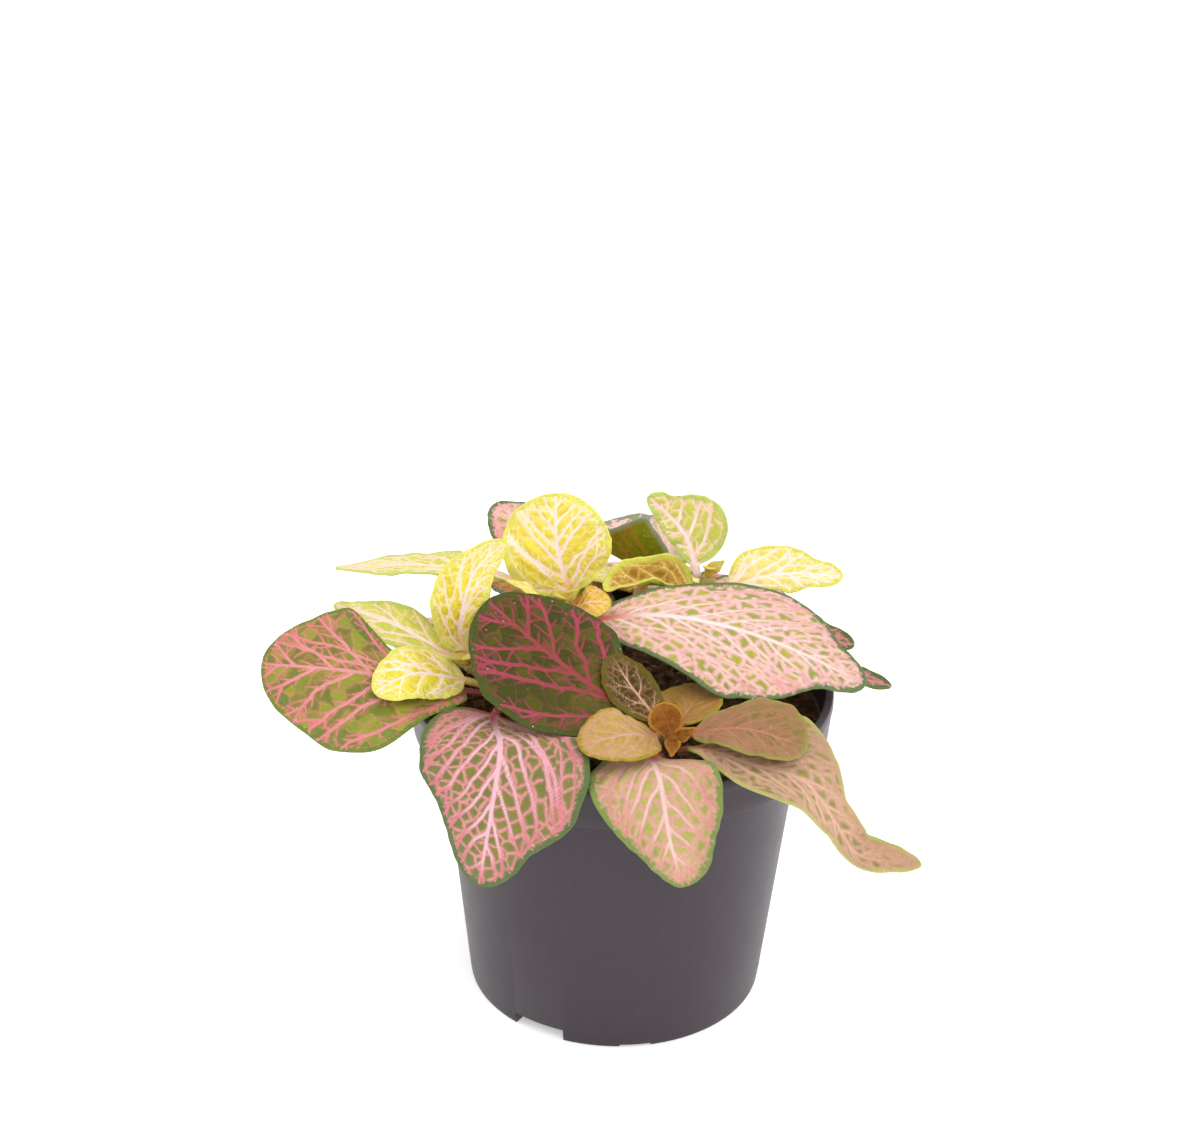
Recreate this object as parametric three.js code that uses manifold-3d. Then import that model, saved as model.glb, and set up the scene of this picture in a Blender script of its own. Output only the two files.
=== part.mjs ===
// A nerve plant in a round plastic nursery pot: five short leafy shoots in peat, whose netted leaves stand
// above the rim and hang over it. Millimetres, +Z up, the origin at the middle of the pot's underside.
// -Y is the front.
import * as THREE from "three";
import Module from "manifold-3d";
import { mergeVertices } from "three/addons/utils/BufferGeometryUtils.js";

const wasm = await Module();
wasm.setup();

// Driving dimensions
const GAP = 0.35; // between pieces that touch on the real plant
const POT = {
  height: 96,
  rim: 60, // outer radius of the rim
  collar: 59, // outer radius at the collar's lower edge
  collarHeight: 13,
  shoulder: 51.7, // outer radius of the body under the collar
  foot: 42.5, // outer radius of the body at the ground
  wall: 1.4,
  floor: 1.6,
  lip: 2.5, // width of the rolled rim
  sides: 60,
};
// The drain channels run in from the foot, each with two drain holes in its roof.
const DRAIN = { count: 3, turn: 240, width: 16, height: 4, inner: 17, hole: 3.2, holes: [24, 34] };
const RECESS = { turn: 279, width: 9, height: 0.9 }; // a shallow nick in the foot beside each channel
const SOIL = { edge: 85, crown: 88, grain: 0.8, shore: 8, sides: 24, rings: 6 };
const STEM = { radius: 2.2, sides: 8, buried: 22, steps: 9 };
const PETIOLE = { width: 2.4, thickness: 1.8 };
const BUD = { radius: 2 };
const BLADE = { thickness: 0.8, edge: 0.64, tip: 0.5, merge: 4 };

const DEGREE = Math.PI / 180;
const UP = new THREE.Vector3(0, 0, 1);
const vec = (p) => new THREE.Vector3(...p);

const looks = {
  pot: { color: 0x4f484d, roughness: 0.55 },
  soil: { color: 0x2a211d, roughness: 0.95 },
  stem: { color: 0x8a7440, roughness: 0.6 },
  heart: { color: 0xd9a53f, roughness: 0.5 },
  dark: { color: 0x55652e, roughness: 0.45 }, // dark green leaves with red-pink veins
  rose: { color: 0xd98f96, roughness: 0.45 }, // pink leaves with a green rim
  gold: { color: 0xdccb3c, roughness: 0.45 }, // young yellow leaves
  lime: { color: 0xa9bd52, roughness: 0.45 }, // yellow-green leaves
  blush: { color: 0xd2a56c, roughness: 0.5 }, // straw and pale pink leaves
};
const materials = {};
for (const [name, look] of Object.entries(looks)) {
  materials[name] = new THREE.MeshStandardMaterial({ ...look, metalness: 0, name });
}

// A closed three.js geometry as a manifold-3d solid.
function solid(geometry) {
  const bare = geometry.index ? geometry.toNonIndexed() : geometry;
  const points = new THREE.BufferGeometry().setAttribute("position", bare.getAttribute("position"));
  const closed = mergeVertices(points, 1e-4);
  return new wasm.Manifold(
    new wasm.Mesh({
      numProp: 3,
      vertProperties: closed.getAttribute("position").array,
      triVerts: new Uint32Array(closed.index.array),
    }),
  );
}

// A manifold-3d solid as a three.js geometry.
function geometryOf(shape) {
  const mesh = shape.getMesh();
  const geometry = new THREE.BufferGeometry();
  geometry.setAttribute("position", new THREE.BufferAttribute(new Float32Array(mesh.vertProperties), 3));
  geometry.setIndex(new THREE.BufferAttribute(new Uint32Array(mesh.triVerts), 1));
  return geometry;
}

// A profile of [radius, height] points turned about +Z.
function turned(profile, sides) {
  const outline = profile.map(([r, z]) => new THREE.Vector2(r, z));
  return new THREE.LatheGeometry(outline, sides).rotateX(Math.PI / 2);
}

// Outer radius of the pot's body at a height.
function bodyRadius(z) {
  const { foot, shoulder, height, collarHeight } = POT;
  return foot + ((shoulder - foot) * z) / (height - collarHeight);
}

// A box that runs outward along the ground from `inner` to `outer`, turned about +Z.
function bar(turn, inner, outer, width, low, high) {
  const box = new THREE.BoxGeometry(outer - inner, width, high - low);
  return solid(box.translate((inner + outer) / 2, 0, (low + high) / 2).rotateZ(turn * DEGREE));
}

const thirds = Array.from({ length: DRAIN.count }, (_, i) => (360 / DRAIN.count) * i);

// The pot: a tapered body with a flat floor, a collar that steps out to the rim, and raised drain channels.
function pot() {
  const { height, rim, collar, collarHeight, shoulder, foot, wall, floor, lip, sides } = POT;
  const step = height - collarHeight;
  const profile = [
    [0, 0],
    [foot - 0.5, 0],
    [foot, 0.6],
    [bodyRadius(step - 2), step - 2],
    [collar - 0.7, step],
    [collar, step + 0.7],
    [rim, height - 1],
    [rim - 0.8, height],
    [rim - lip + 0.4, height],
    [rim - lip, height - 0.7],
    [collar - wall, step + 1.6],
    [shoulder - wall, step - 0.6],
    [bodyRadius(floor) - wall, floor],
    [0, floor],
  ];
  let body = solid(turned(profile, sides));
  for (const turn of thirds) {
    const way = DRAIN.turn + turn;
    const roof = DRAIN.height + floor;
    body = body.add(bar(way, DRAIN.inner - wall, bodyRadius(0) - wall / 2, DRAIN.width + 2 * wall, 0, roof));
    body = body.subtract(bar(way, DRAIN.inner, foot + 5, DRAIN.width, -1, DRAIN.height));
    body = body.subtract(bar(RECESS.turn + turn, foot - wall - 3, foot + 5, RECESS.width, -1, RECESS.height));
    for (const r of DRAIN.holes) {
      const hole = new THREE.CylinderGeometry(DRAIN.hole, DRAIN.hole, 4 * floor, 12).rotateX(Math.PI / 2);
      body = body.subtract(solid(hole.translate(r, 0, roof).rotateZ(way * DEGREE)));
    }
  }
  return body;
}

// The soil: a plug that fills the pot round its drain channels, with a lumpy top and a hole for each stem.
function soil(stems) {
  const { height, collarHeight, collar, wall, floor } = POT;
  const step = height - collarHeight;
  const low = floor + GAP;
  const inside = (z) => bodyRadius(z) - wall - GAP;
  const shore = collar - wall - GAP - 0.8;
  const profile = [
    [0, low],
    [inside(low) - 0.3, low],
    [inside(step - 5) - 0.3, step - 5],
    [inside(step) - 1.2, step - 0.2],
    [shore - 0.6, step + 1.9],
  ];
  for (let i = SOIL.rings; i >= 0; i--) {
    const share = i / SOIL.rings;
    profile.push([shore * share, SOIL.edge + (SOIL.crown - SOIL.edge) * Math.cos((share * Math.PI) / 2)]);
  }
  const geometry = turned(profile, SOIL.sides);
  const at = geometry.getAttribute("position");
  for (let i = 0; i < at.count; i++) {
    const [x, y, z] = [at.getX(i), at.getY(i), at.getZ(i)];
    const lumps = Math.sin(x * 0.71 + 1.3) * Math.cos(y * 0.83) + 0.6 * Math.sin(x * 1.7 - y * 1.3);
    const inland = THREE.MathUtils.clamp((shore - Math.hypot(x, y)) / SOIL.shore, 0, 1);
    if (z > SOIL.edge - 0.5) at.setZ(i, z + SOIL.grain * lumps * inland);
  }
  let plug = solid(geometry);
  for (const turn of thirds) {
    const edge = POT.wall + GAP;
    const tall = DRAIN.height + floor + GAP;
    const channel = [DRAIN.inner - edge, POT.foot + 5, DRAIN.width + 2 * edge];
    plug = plug.subtract(bar(DRAIN.turn + turn, ...channel, 0, tall));
  }
  for (const path of stems) plug = plug.subtract(solid(rod(path, STEM.radius + GAP)));
  return plug;
}

// Where each shoot leaves the soil and where its stem ends.
const shoots = {
  left: { foot: [-33, -4], top: [-43, -5, 103] },
  middle: { foot: [-12, 12], top: [-16, 10, 114] },
  right: { foot: [21, 18], top: [24, 24, 117] },
  front: { foot: [12, -26], top: [14, -38, 100] },
  back: { foot: [3, 36], top: [5, 42, 103] },
};

// A stem's path: straight up through the soil, then leaning over in one bend. `under` lengthens it downward.
function stemPath({ foot, top }, under = 0) {
  const surface = new THREE.Vector3(foot[0], foot[1], SOIL.crown);
  const root = surface.clone().addScaledVector(UP, -STEM.buried - under);
  const bend = surface.clone().setZ((SOIL.crown + top[2]) / 2);
  const path = new THREE.CurvePath();
  path.add(new THREE.LineCurve3(root, surface));
  path.add(new THREE.QuadraticBezierCurve3(surface, bend, vec(top)));
  return path;
}

// A round rod along a path.
function rod(path, radius) {
  const ring = new THREE.Shape().absarc(0, 0, radius, 0, 2 * Math.PI);
  const detail = { steps: STEM.steps, curveSegments: STEM.sides / 2 };
  return new THREE.ExtrudeGeometry(ring, { ...detail, bevelEnabled: false, extrudePath: path });
}

// Closes rings of points into a solid. Each ring runs once round, from the left edge over the top and back
// underneath. Top and bottom split along the same diagonals, and each end closes with strips across its ring.
function skin(rings) {
  const around = rings[0].length;
  const half = around / 2;
  const index = [];
  const quad = (a, b, c, d, flip) => {
    if (flip) index.push(a, d, b, b, d, c);
    else index.push(a, c, b, a, d, c);
  };
  for (let i = 0; i + 1 < rings.length; i++)
    for (let j = 0; j < around; j++) {
      const k = (j + 1) % around;
      quad(i * around + j, (i + 1) * around + j, (i + 1) * around + k, i * around + k, j >= half);
    }
  const last = (rings.length - 1) * around;
  for (let j = 0; j + 1 < half; j++) {
    const across = around - 1 - j;
    quad(j, j + 1, across - 1, across, false);
    quad(last + across, last + across - 1, last + j + 1, last + j, false);
  }
  const geometry = new THREE.BufferGeometry();
  const points = rings.flat().flatMap((p) => p.toArray());
  geometry.setAttribute("position", new THREE.Float32BufferAttribute(points, 3));
  geometry.setIndex(index);
  return geometry;
}

// The value at `share` of the way along evenly spaced stops, which are numbers or [x, y, z] directions.
function stop(stops, share) {
  const place = share * (stops.length - 1);
  const i = Math.min(Math.floor(place), stops.length - 2);
  if (stops.length === 1) return stops[0];
  const mix = place - i;
  if (typeof stops[0] === "number") return THREE.MathUtils.lerp(stops[i], stops[i + 1], mix);
  return stops[i].map((value, axis) => THREE.MathUtils.lerp(value, stops[i + 1][axis], mix));
}

// How far a blade reaches at `t` along it. `widths` are its reach at even steps between its two round ends.
function reachAt(widths, t) {
  const count = widths.length;
  const swell = (i) => {
    const k = THREE.MathUtils.clamp(i, 0, count - 1);
    const u = (k + 1) / (count + 1);
    return widths[k] / Math.sqrt(4 * u * (1 - u));
  };
  const place = THREE.MathUtils.clamp(t * (count + 1) - 1, 0, count - 1);
  const i = Math.min(Math.floor(place), count - 2);
  const x = place - i;
  const [a, b, c, d] = [swell(i - 1), swell(i), swell(i + 1), swell(i + 2)];
  const smooth = b + 0.5 * x * (c - a + x * (2 * a - 5 * b + 4 * c - d + x * (3 * (b - c) + d - a)));
  return smooth * Math.sqrt(4 * t * (1 - t));
}

// The rings of a leaf from its petiole's root to its tip.
// `midrib` holds the points it runs through and `face` the directions its upper side looks in, base to tip.
// `edges` is its reach to the left and right of the midrib, and `stalk` the petiole's share of the length.
// Each half is folded up by `fold` degrees at the midrib and bends up by `curl` degrees more to its edge. Its
// base reaches back beside the petiole by `lobe`, and its edge ripples by `wave`.
const plain = { stalk: 0.1, curl: [0], fold: 0, lobe: [0, 0], wave: 0.6 };
function leafRings(leaf) {
  const { root, midrib, face, edges, cut, stalk, curl, fold, lobe, wave } = { ...plain, ...leaf };
  const { along, across, waves } = cut;
  const spine = new THREE.CatmullRomCurve3([root, ...midrib.map(vec)]);
  const shares = [0, stalk * 0.55];
  for (let i = 0; i <= along; i++) {
    const eased = 0.5 - 0.5 * Math.cos((Math.PI * i) / along);
    shares.push(stalk + (1 - stalk) * eased);
  }
  return shares.map((share) => {
    const middle = spine.getPointAt(share);
    const forward = spine.getTangentAt(share);
    const up = vec(stop(face, share));
    up.addScaledVector(forward, -up.dot(forward)).normalize();
    const side = forward.clone().cross(up);
    const t = THREE.MathUtils.clamp((share - stalk) / (1 - stalk), 0, 1);
    const stalkHalf = THREE.MathUtils.lerp(PETIOLE.width / 2, BLADE.tip, t);
    const top = [];
    const bottom = [];
    for (let j = -across; j <= across; j++) {
      const v = j / across;
      const hand = v < 0 ? 0 : 1;
      const widest = Math.max(...edges[hand]);
      const half = Math.max(reachAt(edges[hand], t), stalkHalf);
      const blade = THREE.MathUtils.clamp((half - stalkHalf) / BLADE.merge, 0, 1);
      const start = fold * DEGREE * blade;
      const bend = (stop(curl, share) * DEGREE + 1e-4) / widest;
      const angle = start + bend * Math.abs(v) * half;
      const reach = (Math.sin(angle) - Math.sin(start)) / bend;
      const ripple = wave * blade * v * v * Math.sin(2 * Math.PI * waves * t + 2.2 * hand);
      const lift = (Math.cos(start) - Math.cos(angle)) / bend + ripple;
      const back = (lobe[hand] * v * v * (1 - t) ** 2 * (half - stalkHalf)) / widest;
      const at = middle.clone().addScaledVector(side, Math.sign(v) * reach);
      at.addScaledVector(up, lift).addScaledVector(forward, -back);
      const normal = up.clone().multiplyScalar(Math.cos(angle));
      normal.addScaledVector(side, -Math.sign(v) * Math.sin(angle));
      const round = PETIOLE.thickness * Math.sqrt(1 - 0.85 * v * v);
      const flat = THREE.MathUtils.lerp(BLADE.thickness, BLADE.edge, v * v);
      const thick = THREE.MathUtils.lerp(round * (1 - t) + flat * t, flat, blade);
      top.push(at.clone().addScaledVector(normal, thick / 2));
      bottom.unshift(at.clone().addScaledVector(normal, -thick / 2));
    }
    return [...top, ...bottom];
  });
}

// How finely a leaf is split along and across, and how many ripples its edge has.
const fine = { along: 9, across: 3, waves: 2.5 };
const small = { along: 7, across: 2, waves: 1.5 };
const tiny = { along: 5, across: 1, waves: 0 };

// Reaches of the plain outlines at a fifth, two, three and four fifths of the blade.
const round = (reach) => [0.8 * reach, 0.98 * reach, 0.98 * reach, 0.8 * reach];
const oval = (reach) => [0.75 * reach, reach, 0.92 * reach, 0.6 * reach];
const both = (widths) => [widths, widths];

// Every leaf: its shoot, how far up the stem it grows, and its form.
const leaves = {
  leaf_left_large: {
    shoot: "left", at: 0.5, look: "dark", cut: fine, stalk: 0.13, lobe: [2, 0], curl: [-4],
    midrib: [[-50, -13, 99.5], [-75, -16, 105.5], [-100, -14, 106]],
    face: [[0, 0.1, 1], [0, -0.15, 1], [-0.05, -0.6, 0.8], [-0.05, -0.7, 0.7]],
    edges: [[14, 25, 24, 17], [5, 11, 19.5, 14]],
  },
  leaf_left_lime: {
    shoot: "left", at: 0.92, look: "lime", cut: small, edges: both(oval(7.5)),
    midrib: [[-64, 3, 110], [-82, 9, 113]], face: [[0, -0.35, 0.94]], curl: [10],
  },
  leaf_left_gold: {
    shoot: "left", at: 0.75, look: "gold", cut: small, edges: both(round(9)), stalk: 0.16,
    midrib: [[-50, -13.5, 103.5], [-58, -18.5, 106.5], [-68, -24, 103.5]], face: [[0, -0.5, 0.87]], curl: [8],
  },
  leaf_left_upright: {
    shoot: "left", at: 0.9, look: "gold", cut: small, curl: [12],
    midrib: [[-45.5, -0.5, 108], [-45, -2, 118], [-41.5, 0, 129.5], [-33, 2, 138]],
    face: [[0, -0.95, 0.3]], edges: [[7, 9.5, 8.5, 5], [4.5, 6.5, 6.5, 4.5]],
  },
  leaf_left_back: {
    shoot: "left", at: 0.35, look: "rose", cut: fine, edges: both(oval(12)),
    midrib: [[-43, 12, 99], [-51, 25, 99.5], [-57, 38, 94]], face: [[0, -0.1, 1]], curl: [-8],
  },
  leaf_front_left: {
    shoot: "left", at: 0.2, look: "rose", cut: fine, stalk: 0.2, lobe: [0, 4],
    midrib: [[-35, -27, 97.5], [-32, -47, 100.5], [-33, -58, 93], [-37, -60, 65]],
    face: [[0.34, -0.02, 1], [0.2, -0.2, 1], [-0.3, -0.7, 0.6], [-0.3, -0.95, 0.1]], curl: [4, -8],
    edges: [[18, 24, 24, 12], [19, 22, 21, 12]],
  },
  leaf_middle_long: {
    shoot: "middle", at: 0.8, look: "lime", cut: fine, edges: [[6, 13, 13, 8], [4, 10, 9, 5]], stalk: 0.22,
    midrib: [[-35, 15, 120.5], [-58, 20, 120.5], [-83, 24, 117]], face: [[0, 0.15, 1]], curl: [14],
  },
  leaf_middle_round: {
    shoot: "middle", at: 1, look: "gold", cut: fine, edges: both(round(15.5)), stalk: 0.06,
    midrib: [[-19, 12, 131], [-20, 16, 146.5]], face: [[0, -0.95, 0.3], [0, -0.85, 0.5]], curl: [10],
  },
  leaf_middle_dark: {
    shoot: "middle", at: 0.5, look: "rose", cut: fine, edges: both(round(11.5)), stalk: 0.2,
    midrib: [[-27, 28.5, 125.5], [-37.5, 39, 132]], face: [[0.2, -0.35, 0.9]],
  },
  leaf_middle_large: {
    shoot: "middle", at: 0.8, look: "rose", cut: { ...fine, along: 12 }, stalk: 0.05, curl: [-8],
    midrib: [[10, 4, 115], [33, 0, 113], [52, -5, 108], [68, -10, 102]], face: [[0, -0.35, 0.94]],
    edges: [[8, 12.5, 15.5, 18, 19, 16.5, 8], [10, 15, 20, 23.5, 22, 18, 8]],
  },
  leaf_middle_young_left: {
    shoot: "middle", at: 0.97, look: "gold", cut: small, edges: both(oval(4)),
    midrib: [[-25, 4, 121], [-33, 3, 125.5]], face: [[0, 0, 1]],
  },
  leaf_middle_young_right: {
    shoot: "middle", at: 0.97, look: "gold", cut: small, edges: both(oval(6)), stalk: 0.05,
    midrib: [[-10, 6, 117.5], [-3.5, 7, 117]], face: [[0, -0.5, 0.87]],
  },
  leaf_middle_back: {
    shoot: "middle", at: 0.3, look: "dark", cut: fine, edges: both(oval(12)), curl: [-8],
    midrib: [[-20, 28, 107], [-30, 40, 106], [-41, 50, 101]], face: [[0, 0.1, 1]],
  },
  leaf_right_upright: {
    shoot: "right", at: 1, look: "lime", cut: fine, edges: [[4, 5, 4.5, 3], [11, 13, 10, 5]],
    midrib: [[17, 25, 130], [6, 22, 143.5]], face: [[0.1, -0.95, 0.3]], curl: [10],
  },
  leaf_right_gold: {
    shoot: "right", at: 0.9, look: "gold", cut: fine, edges: [[10, 10, 8, 5], [4.5, 6, 7, 5]], curl: [8],
    midrib: [[44, 22.5, 119.5], [62, 17, 122]], face: [[0, -0.45, 0.9]],
  },
  leaf_right_curled: {
    shoot: "right", at: 0.85, look: "gold", cut: fine, fold: 25, curl: [60], stalk: 0.04,
    midrib: [[8, 22, 116], [-6, 16, 116.5]], face: [[0, -0.35, 0.93]],
    edges: [[6, 7, 7, 5], [9, 8.5, 8, 6.5]],
  },
  leaf_right_folded: {
    shoot: "right", at: 0.6, look: "dark", cut: fine, fold: 50, curl: [15], stalk: 0.3, lobe: [3, 3],
    midrib: [[12, 33, 110.5], [1, 38.5, 114], [-13, 43, 119.5]], face: [[0, 0.3, 1]],
    edges: [[16, 20, 17, 9], [14, 18, 16, 10]],
  },
  leaf_right_dark: {
    shoot: "right", at: 0.4, look: "dark", cut: fine, edges: [oval(9.5), oval(7)],
    midrib: [[42, 20, 103.5], [66, 11, 103]], face: [[0.1, -0.3, 0.94]],
  },
  leaf_right_rose: {
    shoot: "right", at: 0.2, look: "rose", cut: fine, edges: both(oval(7)), curl: [0, 60],
    midrib: [[44, 7, 97], [60, 1, 99.5], [76, -3, 98]], face: [[0, -0.2, 1]],
  },
  leaf_right_back: {
    shoot: "right", at: 0.5, look: "rose", cut: fine, edges: both(oval(10)), curl: [-8],
    midrib: [[31, 35, 105.5], [40, 43, 104.5], [47, 51, 99]], face: [[0.1, 0, 1]],
  },
  leaf_front_dark: {
    shoot: "front", at: 0.5, look: "dark", cut: fine,
    midrib: [[0, -27, 102.5], [-20, -17, 113], [-38, -6, 123.5]], face: [[0.05, -0.1, 1], [0.2, -0.5, 0.84]],
    edges: [[19, 25, 25, 18.5], [12, 20, 20, 14]],
  },
  leaf_front_middle: {
    shoot: "front", at: 0.15, look: "rose", cut: fine, stalk: 0.18, lobe: [0, 3],
    midrib: [[9, -45, 97], [11, -60, 98.6], [14, -65, 84], [18, -64, 69]],
    face: [[0.05, -0.1, 1], [0, -0.7, 0.7], [0, -1, 0]], edges: [[13, 16, 15, 11], [16, 19, 15, 7.5]],
  },
  leaf_front_peach: {
    shoot: "front", at: 0.9, look: "blush", cut: small, edges: both(round(9)), stalk: 0.06,
    midrib: [[1, -46, 105], [-11, -51.5, 104.5]], face: [[0, -0.45, 0.88]], curl: [10],
  },
  leaf_front_dim: {
    shoot: "front", at: 0.95, look: "blush", cut: small, edges: [round(7.5), round(6.5)],
    midrib: [[2, -22, 107.5], [-3, -14, 112]], face: [[0.1, -0.6, 0.8]], curl: [8],
  },
  leaf_front_olive: {
    shoot: "front", at: 0.85, look: "blush", cut: small, edges: [oval(11), oval(8)], stalk: 0.06,
    midrib: [[19, -24, 101.5], [24, -8, 99.5]], face: [[-0.1, -0.3, 0.95]], curl: [8],
  },
  leaf_front_tan: {
    shoot: "front", at: 0.86, look: "blush", cut: fine, edges: [[8, 10, 12, 12], [5, 8, 9, 8.5]], stalk: 0.1,
    midrib: [[33, -42.5, 106], [50, -46.5, 103]], face: [[0, -0.3, 0.95]], curl: [6],
  },
  leaf_front_long: {
    shoot: "front", at: 0.35, look: "rose", cut: { ...fine, along: 13 }, curl: [0, 5, 15, 70, 85],
    midrib: [
      [23, -42, 98.7], [35, -50, 99.3], [49, -54, 97], [57.5, -57, 87],
      [64, -59, 78], [72, -58, 75], [82, -56, 73],
    ],
    face: [[0, -0.1, 1], [0.2, -0.1, 1], [0.5, -0.3, 0.8], [0, -0.6, 0.8]],
    edges: [[8, 14, 21, 23, 14, 9, 8, 7, 5], [3, 7, 12, 15, 12, 9, 7, 5, 3]],
  },
  leaf_back_gold_left: {
    shoot: "back", at: 0.97, look: "gold", cut: small, edges: both(oval(6)),
    midrib: [[-5, 45, 106], [-14, 47, 105]], face: [[0, 0.2, 1]],
  },
  leaf_back_gold_right: {
    shoot: "back", at: 0.97, look: "gold", cut: small, edges: both(oval(6)),
    midrib: [[14, 46, 105], [23, 49, 103]], face: [[0, 0.2, 1]],
  },
  leaf_back_large: {
    shoot: "back", at: 0.6, look: "rose", cut: fine, edges: both([15, 18, 15, 9]), lobe: [2, 2], stalk: 0.16,
    midrib: [[5, 56, 101], [4, 70, 97], [3, 77, 80]], face: [[0, 0.1, 1], [0, 0.8, 0.6]], curl: [-6],
  },
  leaf_back_low_left: {
    shoot: "back", at: 0.35, look: "rose", cut: fine, edges: both(oval(11)), curl: [-4],
    midrib: [[-10, 48, 97.5], [-21, 58, 99], [-31, 68, 88]], face: [[0, 0.1, 1], [-0.3, 0.5, 0.8]],
  },
  leaf_back_low_right: {
    shoot: "back", at: 0.35, look: "dark", cut: fine, curl: [-4], stalk: 0.16,
    midrib: [[22, 48, 98.5], [33, 57, 99.5], [43, 67, 88]], face: [[0, 0.1, 1], [0.3, 0.4, 0.8]],
    edges: [[8, 10, 10, 7], oval(11)],
  },
};

// The youngest leaves of each shoot: each one's tip, as seen from the growing point, and its reach.
const hearts = {
  left: [{ tip: [-4, -5, 3], reach: 1.8 }, { tip: [3.5, -4, 3], reach: 1.8 }],
  middle: [{ tip: [-3, -5, 4], reach: 1.8 }, { tip: [4, -3, 5], reach: 1.8 }],
  right: [{ tip: [4, -2, 4], reach: 2 }, { tip: [-1, -6, 3.5], reach: 2 }],
  front: [
    { tip: [-1.5, 0.5, 11.5], reach: 5 },
    { tip: [6, -1, 4], reach: 2.5 },
    { tip: [0.5, -6.5, -1.5], reach: 2.4 },
  ],
  back: [{ tip: [-3, 3, 6], reach: 2 }, { tip: [4, 2, 6], reach: 2 }],
};

// A heart: a bud with its young leaves fused to it.
function heart(top, young) {
  const bud = new THREE.SphereGeometry(BUD.radius, 8, 6).translate(...top.toArray());
  let shape = solid(bud);
  for (const { tip, reach } of young) {
    const reachOut = vec(tip);
    const middle = top.clone().addScaledVector(reachOut, 0.55);
    const end = top.clone().add(reachOut);
    const face = reachOut.z > Math.abs(reachOut.y) ? [0, -1, 0.3] : [0, -0.3, 1];
    const edges = both([0.55 * reach, 0.85 * reach, reach, 0.9 * reach]);
    const leaf = { root: top, midrib: [middle.toArray(), end.toArray()], face: [face], edges, cut: tiny };
    shape = shape.add(solid(skin(leafRings({ ...leaf, curl: [25], wave: 0 }))));
  }
  return shape;
}

const group = new THREE.Group();
function add(name, look, geometry) {
  const mesh = new THREE.Mesh(geometry, materials[look]);
  mesh.name = name;
  group.add(mesh);
}

add("pot", "pot", geometryOf(pot()));
const holes = Object.values(shoots).map((shoot) => stemPath(shoot, GAP));
add("soil", "soil", geometryOf(soil(holes)));
for (const [name, shoot] of Object.entries(shoots)) {
  add(`stem_${name}`, "stem", rod(stemPath(shoot), STEM.radius));
}
for (const [name, young] of Object.entries(hearts)) {
  const stem = stemPath(shoots[name]).curves[1];
  const top = stem.getPoint(1).addScaledVector(stem.getTangent(1), BUD.radius + GAP);
  add(`heart_${name}`, "heart", geometryOf(heart(top, young)));
}
for (const [name, leaf] of Object.entries(leaves)) {
  const stem = stemPath(shoots[leaf.shoot]).curves[1];
  const on = stem.getPoint(leaf.at);
  const axis = stem.getTangent(leaf.at);
  const out = vec(leaf.midrib[0]).sub(on).normalize();
  const climb = Math.abs(out.dot(axis));
  out.addScaledVector(axis, -out.dot(axis)).normalize();
  const root = on.addScaledVector(out, STEM.radius + GAP + (PETIOLE.width / 2) * climb);
  add(name, leaf.look, skin(leafRings({ ...leaf, root })));
}

export default group;
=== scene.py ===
"""The looks of a potted nerve plant: netted leaves on five short shoots, in peat, in a plastic nursery pot.

Lengths are in millimetres until a mesh is made, and in metres in Blender. -Y is the front, +Z is up, and the
origin is the middle of the pot's underside.
"""

import logging
import math
from dataclasses import dataclass, replace
from enum import Enum
from functools import partialmethod
from typing import Dict, List, Optional, Sequence, Tuple, Union

import bpy
import numpy as np
from mathutils import Matrix, Vector


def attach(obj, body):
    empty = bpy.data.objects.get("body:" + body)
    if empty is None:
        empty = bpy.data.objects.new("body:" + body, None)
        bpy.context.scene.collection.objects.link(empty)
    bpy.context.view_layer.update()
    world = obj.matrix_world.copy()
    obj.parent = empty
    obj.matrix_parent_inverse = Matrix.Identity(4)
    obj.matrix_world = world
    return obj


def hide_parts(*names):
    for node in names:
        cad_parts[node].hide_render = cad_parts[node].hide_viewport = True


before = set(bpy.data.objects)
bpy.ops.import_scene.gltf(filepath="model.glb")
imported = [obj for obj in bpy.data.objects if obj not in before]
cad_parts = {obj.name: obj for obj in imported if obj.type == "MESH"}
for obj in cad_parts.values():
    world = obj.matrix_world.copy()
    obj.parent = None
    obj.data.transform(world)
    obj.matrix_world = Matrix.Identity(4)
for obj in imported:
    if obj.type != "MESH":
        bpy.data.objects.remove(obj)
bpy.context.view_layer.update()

LOG = logging.getLogger("nerve_plant")

MM = 0.001  # a millimetre in metres
DEGREE = math.pi / 180
TURN = 2 * math.pi
SPIN = 6.3  # the range of random turns, in radians
THIRDS = (0, 120, 240)  # degrees at which the pot repeats round its axis
BODY = "root"
WELD = 2e-7  # metres within which seam points are one point

GAP = 0.35  # kept between pieces that touch on the real plant
STEM_RADIUS = 2.2
STEM_LOW = 66.0  # where a stem starts, inside the peat
SOIL_TOP = 88.0  # where stems leave the peat
PETIOLE_HALF = 1.2
PETIOLE_THICK = 1.8
PETIOLE_SKIN = 0.85  # how far from a petiole's middle its hairs stand
BUD_RADIUS = 2.0
OFFSET = 0.45  # how much further on the second half's side veins start, as a share of their spacing
FAN_STEP = 1.6  # between the side veins that leave the base together, in the plan's fan angles
FIELDS = ("line", "run", "pitch", "rim", "lateral", "along", "gap", "order")  # what a leaf's points carry

Array = np.ndarray
Piece = bpy.types.Object
RGB = Tuple[int, int, int]
Point = Tuple[float, float, float]


# ---- plain helpers

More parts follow.
